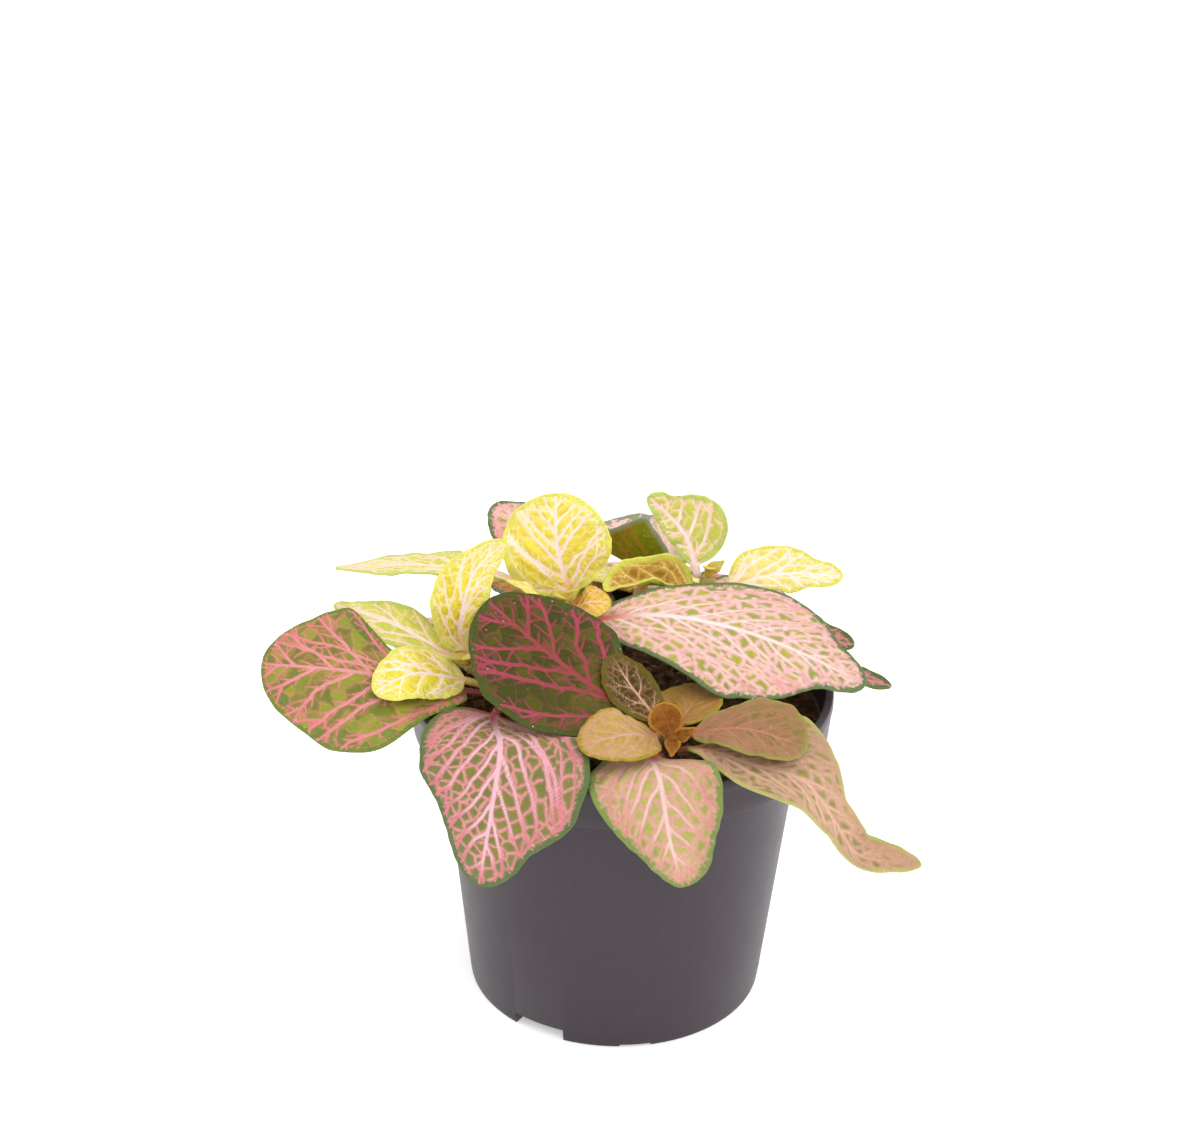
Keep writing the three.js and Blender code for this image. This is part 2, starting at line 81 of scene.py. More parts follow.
def linear(colour: RGB) -> Tuple[float, float, float, float]:
    """Turns a display colour into the linear colour that a shader socket takes.

    Args:
        colour: red, green and blue, each 0 to 255.

    Returns:
        The linear red, green and blue, and an alpha of 1.
    """
    parts = [c / 255 for c in colour]
    made = [p / 12.92 if p <= 0.04045 else ((p + 0.055) / 1.055) ** 2.4 for p in parts]
    return made[0], made[1], made[2], 1.0


def unit(rows: Array) -> Array:
    """Scales vectors, which lie along the last axis, to length one."""
    return rows / np.maximum(np.linalg.norm(rows, axis=-1, keepdims=True), 1e-9)


def lerp(a: Array, b: Array, share: Array) -> Array:
    """Mixes two values or arrays by a share."""
    return a + (b - a) * share


def smooth(low: float, high: float, value: Array) -> Array:
    """Rises smoothly from 0 at `low` to 1 at `high`."""
    x = np.clip((value - low) / (high - low), 0, 1)
    return x * x * (3 - 2 * x)


def stops(values: Sequence, share: Array) -> Array:
    """Reads evenly spaced stops at shares of the way along them.

    Args:
        values: numbers, or directions of three numbers.
        share: where to read, 0 to 1.

    Returns:
        One value, or one direction, for each share.
    """
    table = np.asarray(values, float)
    at = np.linspace(0, 1, len(table)) if len(table) > 1 else np.zeros(1)
    if table.ndim == 1:
        return np.interp(share, at, table)
    return np.stack([np.interp(share, at, column) for column in table.T], axis=-1)


def deselect() -> None:
    """Leaves nothing selected."""
    bpy.ops.object.select_all(action="DESELECT")


def pick(*pieces: Piece) -> None:
    """Selects pieces, the last of them active.

    Args:
        pieces: what is selected, and nothing else.
    """
    deselect()
    for piece in pieces:
        piece.select_set(True)
    bpy.context.view_layer.objects.active = pieces[-1]


def join(pieces: Sequence[Piece], name: str) -> Piece:
    """Joins pieces into one.

    Args:
        pieces: what is joined.
        name: the name of what comes out.

    Returns:
        The joined piece.
    """
    pick(*pieces)
    if len(pieces) > 1:
        bpy.ops.object.join()
    made = bpy.context.view_layer.objects.active
    made.name = made.data.name = name
    return made


def edit(piece: Piece, *steps: Tuple[str, Dict]) -> None:
    """Runs mesh operators on the whole of a piece in edit mode.

    Args:
        piece: the piece.
        steps: each operator's name in bpy.ops.mesh with its settings.
    """
    pick(piece)
    bpy.ops.object.mode_set(mode="EDIT")
    bpy.ops.mesh.select_all(action="SELECT")
    for name, settings in steps:
        getattr(bpy.ops.mesh, name)(**settings)
    bpy.ops.object.mode_set(mode="OBJECT")


def apply_modifiers(piece: Piece) -> None:
    """Applies every modifier on a piece, in order.

    Args:
        piece: the piece.
    """
    pick(piece)
    for modifier in list(piece.modifiers):
        bpy.ops.object.modifier_apply(modifier=modifier.name)


def link(name: str, data: bpy.types.ID) -> Piece:
    """Puts a mesh, a light or a camera into the scene.

    Args:
        name: what it is called there.
        data: the mesh, light or camera.

    Returns:
        What stands in the scene.
    """
    made = bpy.data.objects.new(name, data)
    bpy.context.scene.collection.objects.link(made)
    return made


def basic(kind: str, **settings: object) -> Piece:
    """Adds a basic mesh.

    Args:
        kind: its kind, such as cube.
        settings: the operator's settings.

    Returns:
        The new piece.
    """
    deselect()
    getattr(bpy.ops.mesh, f"primitive_{kind}_add")(**settings)
    return bpy.context.object


def carry(piece: Piece, name: str, values: Array, domain: str = "POINT") -> None:
    """Stores a number for every point or face of a piece, for its material to read."""
    carried = piece.data.attributes.new(name, "FLOAT", domain)
    carried.data.foreach_set("value", values.reshape(-1).astype(np.float32))


def dress(piece: Piece, material: bpy.types.Material, sharp: Optional[float] = None) -> Piece:
    """Smooths a piece and gives it its material.

    Args:
        piece: the piece.
        material: what it is made of.
        sharp: edges that turn by more degrees than this stay sharp; none do where it is left out.

    Returns:
        The same piece.
    """
    pick(piece)
    if sharp is None:
        bpy.ops.object.shade_smooth()
    else:
        bpy.ops.object.shade_smooth_by_angle(angle=sharp * DEGREE)
    piece.data.materials.clear()
    piece.data.materials.append(material)
    return piece


def points_of(piece: Piece) -> Array:
    """The piece's points in millimetres, one row each.

    Args:
        piece: the piece.

    Returns:
        Places, points by three.
    """
    flat = np.empty(len(piece.data.vertices) * 3, np.float32)
    piece.data.vertices.foreach_get("co", flat)
    return flat.reshape(-1, 3).astype(float) / MM


def set_points(piece: Piece, points: Array) -> None:
    """Moves the piece's points to new places in millimetres."""
    piece.data.vertices.foreach_set("co", (points.reshape(-1) * MM).astype(np.float32))
    piece.data.update()


def scatter(model: Piece, name: str, turns: Array, places: Array) -> Piece:
    """Copies a small model many times into one mesh.

    Args:
        model: the piece that repeats; it is used up.
        name: the name of what comes out.
        turns: a 3 by 3 matrix for each copy.
        places: where each copy stands, in millimetres.

    Returns:
        One piece that holds all the copies.
    """
    shape = points_of(model)
    faces = [tuple(face.vertices) for face in model.data.polygons]
    points = np.einsum("nij,vj->nvi", turns, shape) + places[:, None, :]
    count = len(shape)
    mesh = bpy.data.meshes.new(name)
    every = [tuple(v + copy * count for v in face) for copy in range(len(places)) for face in faces]
    mesh.from_pydata((points.reshape(-1, 3) * MM).tolist(), [], every)
    bpy.data.objects.remove(model)
    return link(name, mesh)


def frames_along(ways: Array, spin: Array, size: Array) -> Array:
    """Matrices that stand a model's Z axis along given ways.

    Args:
        ways: unit directions, one row each.
        spin: a turn about each way, in radians.
        size: three scales for each, across, across and along.

    Returns:
        A 3 by 3 matrix for each way.
    """
    helper = np.where(np.abs(ways[:, 2:]) < 0.9, [[0, 0, 1.0]], [[1.0, 0, 0]])
    x = unit(np.cross(helper, ways))
    y = np.cross(ways, x)
    c, s = np.cos(spin)[:, None], np.sin(spin)[:, None]
    return np.stack([(x * c + y * s) * size[:, :1], (y * c - x * s) * size[:, 1:2], ways * size[:, 2:]], axis=2)


# ---- materials

class Graph:
    """The nodes of one material, which feed a single shader."""

    def __init__(self, name: str) -> None:
        """Starts a material that holds one Principled shader.

        Args:
            name: the material's name.
        """
        self.material = bpy.data.materials.new(name)
        self.material.use_nodes = True
        self.tree = self.material.node_tree
        self.shader = self.tree.nodes["Principled BSDF"]

    def feed(self, socket: bpy.types.NodeSocket, value: object) -> None:
        """Links a wire to a socket, or sets the socket's own value.

        Args:
            socket: where the value goes.
            value: a wire or a constant.
        """
        if isinstance(value, Wire):
            self.tree.links.new(value.socket, socket)
        else:
            socket.default_value = value

    def node(self, kind: str, inputs: Dict, output: Union[str, int] = 0, **settings: object) -> "Wire":
        """Adds a node.

        Args:
            kind: the node's type, without its ShaderNode prefix.
            inputs: what goes to each input, by name or number.
            output: the output to read.
            settings: the node's own settings.

        Returns:
            The wire from that output.
        """
        made = self.tree.nodes.new("ShaderNode" + kind)
        for key, value in settings.items():
            setattr(made, key, value)
        for key, value in inputs.items():
            self.feed(made.inputs[key], value)
        return Wire(self, made.outputs[output])

    def field(self, name: str) -> "Wire":
        """Reads a number that the mesh carries."""
        return self.node("Attribute", {}, "Fac", attribute_name=name, attribute_type="GEOMETRY")

    def place(self) -> "Wire":
        """The place on the piece, in millimetres."""
        at = self.node("TexCoord", {}, "Object")
        return self.node("VectorMath", {0: at, "Scale": 1 / MM}, operation="SCALE")

    def noise(self, at: "Wire", scale: float, detail: float = 2.0, rough: float = 0.5,
              output: str = "Fac") -> "Wire":
        """Smooth noise, `scale` waves a millimetre."""
        inputs = {"Vector": at, "Scale": scale, "Detail": detail, "Roughness": rough}
        return self.node("TexNoise", inputs, output)

    def parts(self, colour: "Wire") -> Tuple["Wire", "Wire", "Wire"]:
        """Splits a colour in three numbers.

        Args:
            colour: what is split.

        Returns:
            Its red, green and blue.
        """
        first = self.node("SeparateColor", {0: colour}, 0)
        outputs = first.socket.node.outputs
        return first, Wire(self, outputs[1]), Wire(self, outputs[2])

    def blend(self, share: Union["Wire", float], a: Union["Wire", RGB], b: Union["Wire", RGB]) -> "Wire":
        """Mixes two colours, all `b` where the share is 1.

        Args:
            share: how much of `b` there is.
            a, b: wires or display colours.

        Returns:
            The mixed colour.
        """
        made = self.tree.nodes.new("ShaderNodeMix")
        made.data_type = "RGBA"
        for key, value in ((0, share), (6, a), (7, b)):
            self.feed(made.inputs[key], linear(value) if isinstance(value, tuple) else value)
        return Wire(self, made.outputs[2])

    def shade(self, colour: "Wire", amount: Union["Wire", float]) -> "Wire":
        """Multiplies a colour by a number."""
        return self.node("VectorMath", {0: colour, "Scale": amount}, operation="SCALE")

    def bump(self, height: "Wire", depth: float, strength: float = 1.0) -> None:
        """Shapes the shader's normal by a height, `depth` millimetres from 0 to 1."""
        inputs = {"Height": height, "Distance": depth * MM, "Strength": strength}
        self.feed(self.shader.inputs["Normal"], self.node("Bump", inputs))

    def finish(self, **sockets: object) -> bpy.types.Material:
        """Sets the shader's sockets, whose names are written with _ for a space.

        Args:
            sockets: a wire or a constant for each.

        Returns:
            The material.
        """
        for name, value in sockets.items():
            self.feed(self.shader.inputs[name.replace("_", " ")], value)
        return self.material


class Wire:
    """A number, place or colour on its way through a material."""

    def __init__(self, graph: Graph, socket: bpy.types.NodeSocket) -> None:
        """Keeps the socket that the wire comes from."""
        self.graph = graph
        self.socket = socket

    def math(self, operation: str, *others: object) -> "Wire":
        """One Math node on this and other values."""
        return self.graph.node("Math", dict(enumerate((self, *others))), operation=operation)

    __add__ = partialmethod(math, "ADD")
    __sub__ = partialmethod(math, "SUBTRACT")
    __mul__ = partialmethod(math, "MULTIPLY")
    __truediv__ = partialmethod(math, "DIVIDE")
    least = partialmethod(math, "MINIMUM")
    most = partialmethod(math, "MAXIMUM")

    def flip(self) -> "Wire":
        """One minus this."""
        return self * -1.0 + 1.0

    def size(self) -> "Wire":
        """The value without its sign."""
        return self.math("ABSOLUTE")

    def ramp(self, low: object, high: object) -> "Wire":
        """Rises smoothly from 0 at `low` to 1 at `high`."""
        inputs = {"Value": self, "From Min": low, "From Max": high}
        return self.graph.node("MapRange", inputs, interpolation_type="SMOOTHSTEP")


class Growth(Enum):
    """How grown a leaf is: the ripples of its edge, and the spacing of its mesh in millimetres."""

    FULL = (2.5, 0.7)
    CLEAR = (2.5, 0.52)  # grown, and seen plainly from the photograph's side
    SMALL = (1.5, 0.48)
    BUDDING = (0.0, 0.4)


@dataclass(frozen=True)
class VeinPlan:
    """How a leaf's veins are laid out. Millimetres and degrees.

    pairs: side veins on each half.
    angle: between a side vein and the midrib, where it leaves it.
    bow: how much a side vein turns towards the tip on its way.
    fan: between the side veins that leave the blade's base together.
    rows: areoles side by side between two side veins.
    cell: an areole's length.
    midrib, rib, net: half widths of the midrib, the side veins and the net between them.
    border: width of the plain margin.
    loose: how irregular the net is, 0 to 1.
    wander: how far veins stray from their even course.
    faint: how much the net fades deep inside the blade, 0 to 1.
    twigs: length of the side veins' own branches, 0 for none.
    forks: how often a side vein forks before the margin: 0.1 for once, 0.5 for twice.
    soft: how gradually a vein's colour ends.
    """

    pairs: float = 6.0
    angle: float = 40.0
    bow: float = 0.0
    fan: float = 22.0
    rows: float = 1.0
    cell: float = 3.4
    midrib: float = 0.6
    rib: float = 0.36
    net: float = 0.2
    border: float = 1.5
    loose: float = 0.7
    wander: float = 0.5
    faint: float = 0.4
    twigs: float = 3.0
    forks: float = 0.1
    soft: float = 0.14


FINE = VeinPlan(pairs=4.5, cell=2.6, midrib=0.4, rib=0.24, net=0.13, border=0.9, wander=0.6, twigs=1.6)
GOLDEN = VeinPlan(
    pairs=5, angle=36, cell=3.2, midrib=0.7, rib=0.46, net=0.14, border=1.8, wander=1.0, faint=1.0, twigs=2.4)
OPEN = VeinPlan(
    pairs=5, angle=40, cell=4.0, midrib=0.85, rib=0.54, net=0.18, border=1.6, wander=1.1, faint=1.0, twigs=4.4)
SPARSE = VeinPlan(
    pairs=3.4, angle=24, bow=0.02, cell=6, midrib=0.6, rib=0.36, net=0.14, border=1.3, faint=1.0, twigs=2.0)
BROAD = VeinPlan(
    pairs=6.5, angle=35, bow=0.008, fan=16, rows=1.4, cell=4.2, midrib=0.9, rib=0.55, net=0.4, border=1.8,
    loose=0.75, wander=0.8, faint=0.0, twigs=0.0, forks=0.5, soft=0.35)
SOFT = VeinPlan(
    pairs=5, angle=34, rows=1.4, cell=3.4, midrib=0.45, rib=0.3, net=0.24, border=0.9, loose=0.85, wander=0.9,
    faint=0.15, twigs=1.8, soft=0.4)
LACED = replace(
    BROAD, pairs=7.5, angle=30, bow=0.014, fan=11, rows=1.1, cell=3.6, midrib=1.0, net=0.35, forks=0.1)
PATCHED = replace(
    BROAD, pairs=9, angle=30, bow=0.012, rows=1.2, cell=4.2, net=0.48, rib=0.42, loose=0.65, border=1.5, soft=0.5)
YOUNG = replace(FINE, cell=1.8, midrib=0.25, rib=0.14, net=0.08, border=0.5, wander=0.15)


@dataclass(frozen=True)
class LeafFinish:
    """A leaf's colours.

    The areoles are the fields between veins: areole at the middle of the leaf, areole_rim towards its edge,
    areole_alt where a field differs from the rest. The veins are vein at the middle, vein_rim towards the edge and
    vein_fine where they are thin.
    under and under_vein are the same for the underside; margin is the plain strip at the edge, and petiole the stalk.
    halo is how far the veins' colour runs into the areoles, 0 to 1. painted_glint is the colour of scattered pale
    dots that paint glints of hairs and dew, most of them near the edge; freckle is the colour of scattered brown
    dots, and freckles is how strong they are, 0 to 1. slot is the part's material slot.
    """

    slot: str
    areole: RGB
    areole_rim: RGB
    areole_alt: RGB
    vein: RGB
    vein_rim: RGB
    vein_fine: RGB
    margin: RGB
    under: RGB
    under_vein: RGB
    petiole: RGB
    halo: float = 0.3
    roughness: float = 0.46
    # the pale dots' colour, which paints glints of hairs and dew
    painted_glint: RGB = (232, 228, 214)
    freckle: RGB = (98, 62, 24)
    freckles: float = 0.4


DARK = LeafFinish(
    "leaf_dark", (106, 114, 46), (100, 118, 56), (152, 158, 50), (216, 150, 148), (218, 128, 142), (204, 122, 108),
    (112, 128, 50), (120, 137, 90), (203, 113, 102), (174, 91, 89))
DEEP = LeafFinish(
    "leaf_dark", (60, 60, 0), (56, 62, 8), (84, 82, 2), (148, 64, 64), (168, 64, 88), (136, 56, 62),
    (70, 80, 22), (81, 96, 48), (147, 78, 63), (111, 43, 41), halo=0.15, roughness=0.34)
SHADE = LeafFinish(
    "leaf_dark", (92, 107, 5), (111, 125, 39), (118, 125, 9), (219, 143, 59), (209, 125, 59), (181, 112, 29),
    (84, 94, 56), (115, 123, 5), (188, 101, 18), (182, 122, 74))
# The folded leaf: the pale pink-white areoles of its upper side are partly its own colour, partly a painted sheen
# where the fold catches the light.
FOLDED = LeafFinish(
    "leaf_dark", (206, 190, 160), (176, 176, 140), (214, 200, 176), (252, 226, 226), (250, 210, 214), (248, 206, 204),
    (150, 156, 128), (130, 134, 22), (188, 122, 44), (196, 136, 84))
ROSE = LeafFinish(
    "leaf_rose", (150, 152, 72), (122, 140, 66), (176, 174, 66), (248, 218, 216), (236, 150, 162), (238, 184, 182),
    (100, 118, 74), (188, 176, 115), (227, 159, 142), (223, 102, 55), halo=0.4)
NETTED = LeafFinish(
    "leaf_rose", (112, 118, 56), (110, 120, 70), (130, 122, 58), (226, 180, 190), (210, 118, 130), (208, 138, 138),
    (92, 110, 64), (149, 144, 98), (211, 131, 125), (192, 77, 83), halo=0.25)
PALE = LeafFinish(
    "leaf_rose", (170, 168, 88), (140, 148, 72), (174, 170, 84), (230, 190, 186), (208, 124, 128), (206, 152, 140),
    (120, 138, 70), (191, 173, 110), (225, 163, 146), (220, 117, 88), halo=0.4)
BLUSH = LeafFinish(
    "leaf_rose", (142, 134, 68), (150, 146, 70), (126, 116, 48), (206, 162, 142), (190, 136, 116), (188, 150, 124),
    (172, 170, 96), (179, 166, 103), (201, 163, 138), (197, 136, 81), halo=0.6)
GOLD = LeafFinish(
    "leaf_gold", (238, 218, 48), (230, 218, 84), (226, 204, 34), (253, 226, 222), (252, 226, 212), (247, 226, 170),
    (224, 220, 104), (228, 213, 65), (248, 219, 180), (238, 202, 108), halo=0.15)
LEMON = LeafFinish(
    "leaf_gold", (232, 216, 104), (222, 214, 96), (238, 218, 124), (254, 230, 224), (254, 230, 224), (251, 222, 188),
    (214, 208, 92), (225, 212, 103), (243, 212, 187), (237, 202, 118), halo=0.2)
LIME = LeafFinish(
    "leaf_lime", (202, 204, 66), (196, 206, 90), (214, 210, 86), (249, 224, 212), (247, 204, 195), (241, 210, 181),
    (186, 198, 94), (188, 199, 86), (240, 205, 184), (229, 188, 154))
AMBER = LeafFinish(
    "leaf_gold", (204, 160, 12), (202, 177, 42), (197, 148, 16), (241, 195, 173), (239, 199, 162), (238, 189, 98),
    (198, 180, 50), (206, 174, 39), (225, 182, 117), (230, 176, 76))
# The curled leaf: its dark brown middle is painted shade inside the curl, and its pale yellow-green rim and margin
# are partly its own colour, partly a painted highlight on the rolled edge.
ROLLED = LeafFinish(
    "leaf_lime", (120, 78, 20), (176, 150, 44), (150, 112, 30), (236, 190, 120), (240, 216, 150), (220, 180, 90),
    (216, 218, 98), (203, 222, 72), (244, 226, 176), (243, 184, 124), halo=0.5)
APPLE = LeafFinish(
    "leaf_lime", (178, 192, 46), (199, 198, 96), (197, 200, 81), (250, 224, 220), (243, 194, 191), (243, 209, 189),
    (186, 196, 103), (167, 196, 61), (248, 217, 213), (237, 209, 201))
PEACH = LeafFinish(
    "leaf_blush", (178, 148, 40), (172, 150, 52), (190, 158, 50), (206, 163, 146), (198, 146, 124), (190, 146, 110),
    (155, 134, 32), (179, 163, 95), (192, 140, 104), (194, 132, 80), halo=0.35, freckles=0.9)
# STRAW, TAN and DUSK, of three front leaves: their dull browns are partly their own colour, partly painted shade of
# the leaves over them, darkest in DUSK.
STRAW = LeafFinish(
    "leaf_blush", (156, 128, 32), (160, 134, 38), (138, 102, 24), (172, 126, 78), (157, 108, 66), (162, 116, 63),
    (156, 136, 34), (166, 139, 56), (178, 126, 70), (157, 100, 52), halo=0.35)
TAN = LeafFinish(
    "leaf_blush", (118, 102, 36), (132, 120, 50), (160, 116, 80), (194, 120, 106), (162, 122, 84), (158, 116, 84),
    (146, 140, 66), (145, 124, 60), (170, 124, 92), (176, 103, 80), halo=0.5, roughness=0.5)
DUSK = LeafFinish(
    "leaf_blush", (58, 40, 4), (64, 52, 6), (72, 48, 8), (196, 156, 128), (116, 92, 50), (130, 98, 58),
    (98, 84, 14), (113, 100, 37), (152, 109, 71), (140, 91, 49), halo=0.3)
# HEART, the front growing tip's, is browner and darker than TIP: partly its own colour, partly painted shade from the
# leaves round it.
HEART = LeafFinish(
    "heart", (132, 76, 16), (170, 112, 34), (112, 64, 12), (148, 92, 36), (160, 104, 44), (138, 84, 28),
    (178, 124, 44), (150, 104, 34), (176, 124, 60), (150, 96, 38))
TIP = LeafFinish(
    "heart", (206, 190, 70), (214, 200, 90), (220, 196, 80), (238, 206, 150), (236, 210, 140), (230, 206, 120),
    (214, 206, 90), (206, 190, 80), (236, 200, 140), (216, 180, 80))


@dataclass(frozen=True)
class LeafSkin:
    """The material of one leaf, whose net of veins follows the numbers that the leaf's mesh carries. Millimetres.

    name: what the material is called.
    finish: the leaf's colours.
    veins: how its veins are laid out.
    seed: what makes its net differ from the other leaves' nets.
    """

    name: str
    finish: LeafFinish
    veins: VeinPlan
    seed: float

    STRAY = 2.6  # how far the net strays where the plan's wander is 1
    LEAST_PITCH = 1.5  # a strip narrower than this strays no more than one of this width
    STRIP_STEP, SIDE_STEP = (7.0, 3.7), 31.0  # steps in the net's pattern from strip to strip and side to side
    MARGIN_BY_GRAIN, MARGIN_BY_STRAY = 1.6, 1.4  # how uneven the margin's inner line is
    INWARD = 6.0  # how far inside the margin the colours are those of the middle
    CORE = 11.0  # how far beside the midrib the veins' stronger colour reaches
    SPECKS, SPECK_SIZE = 0.42, (0.13, 0.07)  # painted glints of hairs and dew as pale dots: how many along a millimetre, and where they end and are full
    FRECKLES, FRECKLE_SIZE = 0.6, (0.16, 0.08)  # the same of the brown dots
    RELIEF = 0.3  # depth of the fine relief

    def material(self) -> bpy.types.Material:
        """Builds the material.

        Returns:
            The material.
        """
        g, look, plan = Graph(self.name), self.finish, self.veins
        line, run, pitch, rim, lateral, along, gap, order = (g.field(name) for name in FIELDS)
        under, place = g.field("under"), g.place()
        stray = g.parts(g.noise(place, 0.22, 1.5, output="Color"))
        grain = g.noise(place, 1.1, 3.0)
        fleck = g.noise(place, 5.0, 2.0)
        edge, tint = self._cells(line, run, pitch, lateral.math("GREATER_THAN", 0.0), stray)
        lateral = lateral.size()

        # the margin, and the veins inside it
        loose = rim + (grain - 0.5) * self.MARGIN_BY_GRAIN + (stray[2] - 0.5) * self.MARGIN_BY_STRAY
        inside = loose.ramp(plan.border * 0.8, plan.border * 1.5)
        deep = rim.ramp(plan.border, plan.border * 2 + self.INWARD)
        uneven = stray[2] * 0.9 + grain * 0.7 + 0.2
        net = self._line(edge, (inside * 0.5 + 0.5) * uneven * plan.net, plan.soft) * inside
        net = net * (deep * -plan.faint + 1.0)
        thick = self._line(gap + (grain - 0.5) * 0.3, 0.0, plan.soft * 0.7)
        loop = self._line((loose - plan.border * 1.2).size(), plan.net * 0.8, plan.soft) * uneven.ramp(0.75, 1.2)
        vein = thick.most(net).most(loop * inside.ramp(0.0, 0.3))

        # the upper side's areoles, then its veins
        halo = (edge - plan.net).least(gap).ramp(0.0, look.halo + 0.5)
        areole = g.blend(deep, look.areole_rim, look.areole)
        other = tint.ramp(0.3, 0.95) * 0.7 + grain * 0.25 + along.ramp(0.5, 0.1) * 0.6
        areole = g.blend(other, areole, look.areole_alt)
        areole = g.blend(halo.flip() * look.halo, areole, look.vein_fine)
        areole = g.blend(loose.ramp(plan.border * 0.5, plan.border * 1.6), look.margin, areole)
        core = deep * 0.55 + lateral.ramp(self.CORE, 0.0) * 0.6 + (grain - 0.5) * 0.4 - along.ramp(0.55, 1.0) * 0.45
        strong = g.blend(core.ramp(0.0, 1.0), look.vein_rim, look.vein)
        strong = g.blend(thick * (order * -0.7 + 1.0), look.vein_fine, strong)
        top = g.blend(vein, areole, strong)

        # the underside, and the petiole that runs out into the midrib
        below = g.blend(vein.ramp(0.3, 1.0) * 0.75, look.under, look.under_vein)
        below = g.blend(rim.ramp(0.6, 2.4), look.margin, below)
        colour = g.blend(under, top, below)
        stalk = along.ramp(0.06, -0.02).most(lateral.ramp(1.3, 0.5) * along.ramp(0.24, 0.04) * 0.8)
        colour = g.blend(stalk, colour, look.petiole)

        # painted glints as pale dots, mostly near the edge; brown freckles; and the unevenness of it all
        painted_glint_mask = self._dots(place, self.SPECKS, self.SPECK_SIZE)
        painted_glint_mask = painted_glint_mask * stray[1].ramp(0.5, 0.6) * (deep.flip() * 0.8 + 0.2)
        colour = g.blend(painted_glint_mask * 0.75, colour, look.painted_glint)
        freckle = self._dots(place, self.FRECKLES, self.FRECKLE_SIZE)
        freckle = freckle * stray[0].ramp(0.52, 0.56) * grain.ramp(0.45, 0.6)
        colour = g.blend(freckle * look.freckles, colour, look.freckle)
        colour = g.shade(colour, grain * 0.3 + fleck * 0.16 + stray[0] * 0.16 + 0.69)

        relief = halo * 0.5 + gap.ramp(-0.5, 1.0) * 0.5
        g.bump(relief * (under * -1.6 + 1.0) + fleck * 0.2 + grain * 0.3 + painted_glint_mask, self.RELIEF)
        return g.finish(
            Base_Color=colour, Roughness=fleck * 0.2 + (look.roughness - 0.1), Subsurface_Weight=0.25,
            Subsurface_Radius=(1.0, 0.8, 0.3), Subsurface_Scale=0.9 * MM, Specular_IOR_Level=0.18)

    def _cells(self, line: Wire, run: Wire, pitch: Wire, side: Wire, stray: Sequence[Wire]) -> Tuple[Wire, Wire]:
        """Fills the strips between the side veins with the cells of the fine net.

        Args:
            line: the number of the side vein, whose whole part is the strip's.
            run: how far along the strip.
            pitch: the strip's width.
            side: 1 on the second half of the leaf, 0 on the first.
            stray: smooth random numbers that bend the net.

        Returns:
            How far each place is from its cell's edge, and a random number for each cell.
        """
        g, plan, bend = line.graph, self.veins, self.STRAY * self.veins.wander
        line = line + side * OFFSET + (stray[0] - 0.5) * bend / pitch.most(self.LEAST_PITCH)
        strip = line.math("FLOOR")
        along = (run + (stray[1] - 0.5) * bend) / plan.cell
        cell = g.node("CombineXYZ", {
            0: (line - strip) * plan.rows + strip * self.STRIP_STEP[0] + side * self.SIDE_STEP + self.seed,
            1: along + strip * self.STRIP_STEP[1],
        })
        inputs = {"Vector": cell, "Scale": 1.0, "Randomness": plan.loose}
        flat = {"voronoi_dimensions": "2D"}
        edge = g.node("TexVoronoi", inputs, "Distance", feature="DISTANCE_TO_EDGE", **flat)
        tint = g.parts(g.node("TexVoronoi", inputs, "Color", feature="F1", **flat))[0]
        return edge * (pitch * (plan.cell / plan.rows)).math("POWER", 0.5), tint

    @staticmethod
    def _line(far: Wire, half: object, soft: float) -> Wire:
        """A line that is solid to its half width and soft at its edge."""
        return far.ramp(half - soft, half + soft).flip()

    @staticmethod
    def _dots(at: Wire, scale: float, size: Tuple[float, float]) -> Wire:
        """Scattered round dots, 1 at their middles."""
        return at.graph.node("TexVoronoi", {"Vector": at, "Scale": scale}, "Distance", feature="F1").ramp(*size)


@dataclass(frozen=True)
class Plastic:
    """Matt injection-moulded plastic."""

    colour: RGB = (44, 35, 42)
    worn: RGB = (52, 42, 49)
    roughness: float = 0.42

    def material(self) -> bpy.types.Material:
        """Builds the material: faint flow streaks, dust and a fine grain.

        Returns:
            The material.
        """
        g = Graph("nursery_plastic")
        place = g.place()
        tall = g.node("VectorMath", {0: place, 1: (1.0, 1.0, 0.3)}, operation="MULTIPLY")
        streak = g.noise(tall, 0.5, 4.0)
        dust = g.noise(place, 0.09, 5.0, 0.6)
        fleck = g.noise(place, 3.2, 3.0, 0.7)
        colour = g.blend(streak.ramp(0.3, 0.75) * 0.35 + dust.ramp(0.45, 0.8) * 0.3, self.colour, self.worn)
        colour = g.shade(colour, fleck * 0.12 + 0.94)
        g.bump(fleck * 0.6 + streak * 0.3, 0.04)
        return g.finish(Base_Color=colour, Roughness=dust * 0.16 + fleck * 0.08 + (self.roughness - 0.12),
                        Specular_IOR_Level=0.45, Specular_Tint=(1.0, 0.93, 0.99, 1.0))


@dataclass(frozen=True)
class Peat:
    """Damp potting peat."""

    dark: RGB = (60, 44, 28)
    brown: RGB = (140, 102, 62)
    bark: RGB = (118, 86, 58)

    def material(self) -> bpy.types.Material:
        """Builds the material: dark crumbs, brown fibre and a few pale bits of bark.

        Returns:
            The material.
        """
        g = Graph("peat")
        place = g.place()
        lumps = g.noise(place, 0.5, 5.0, 0.65)
        bits = g.noise(place, 1.6, 4.0, 0.7)
        colour = g.blend(lumps.ramp(0.4, 0.75), self.dark, self.brown)
        colour = g.blend(bits.ramp(0.62, 0.72) * 0.6, colour, self.bark)
        g.bump(bits + lumps, 0.5)
        return g.finish(Base_Color=colour, Roughness=bits * 0.2 + 0.75, Specular_IOR_Level=0.25)


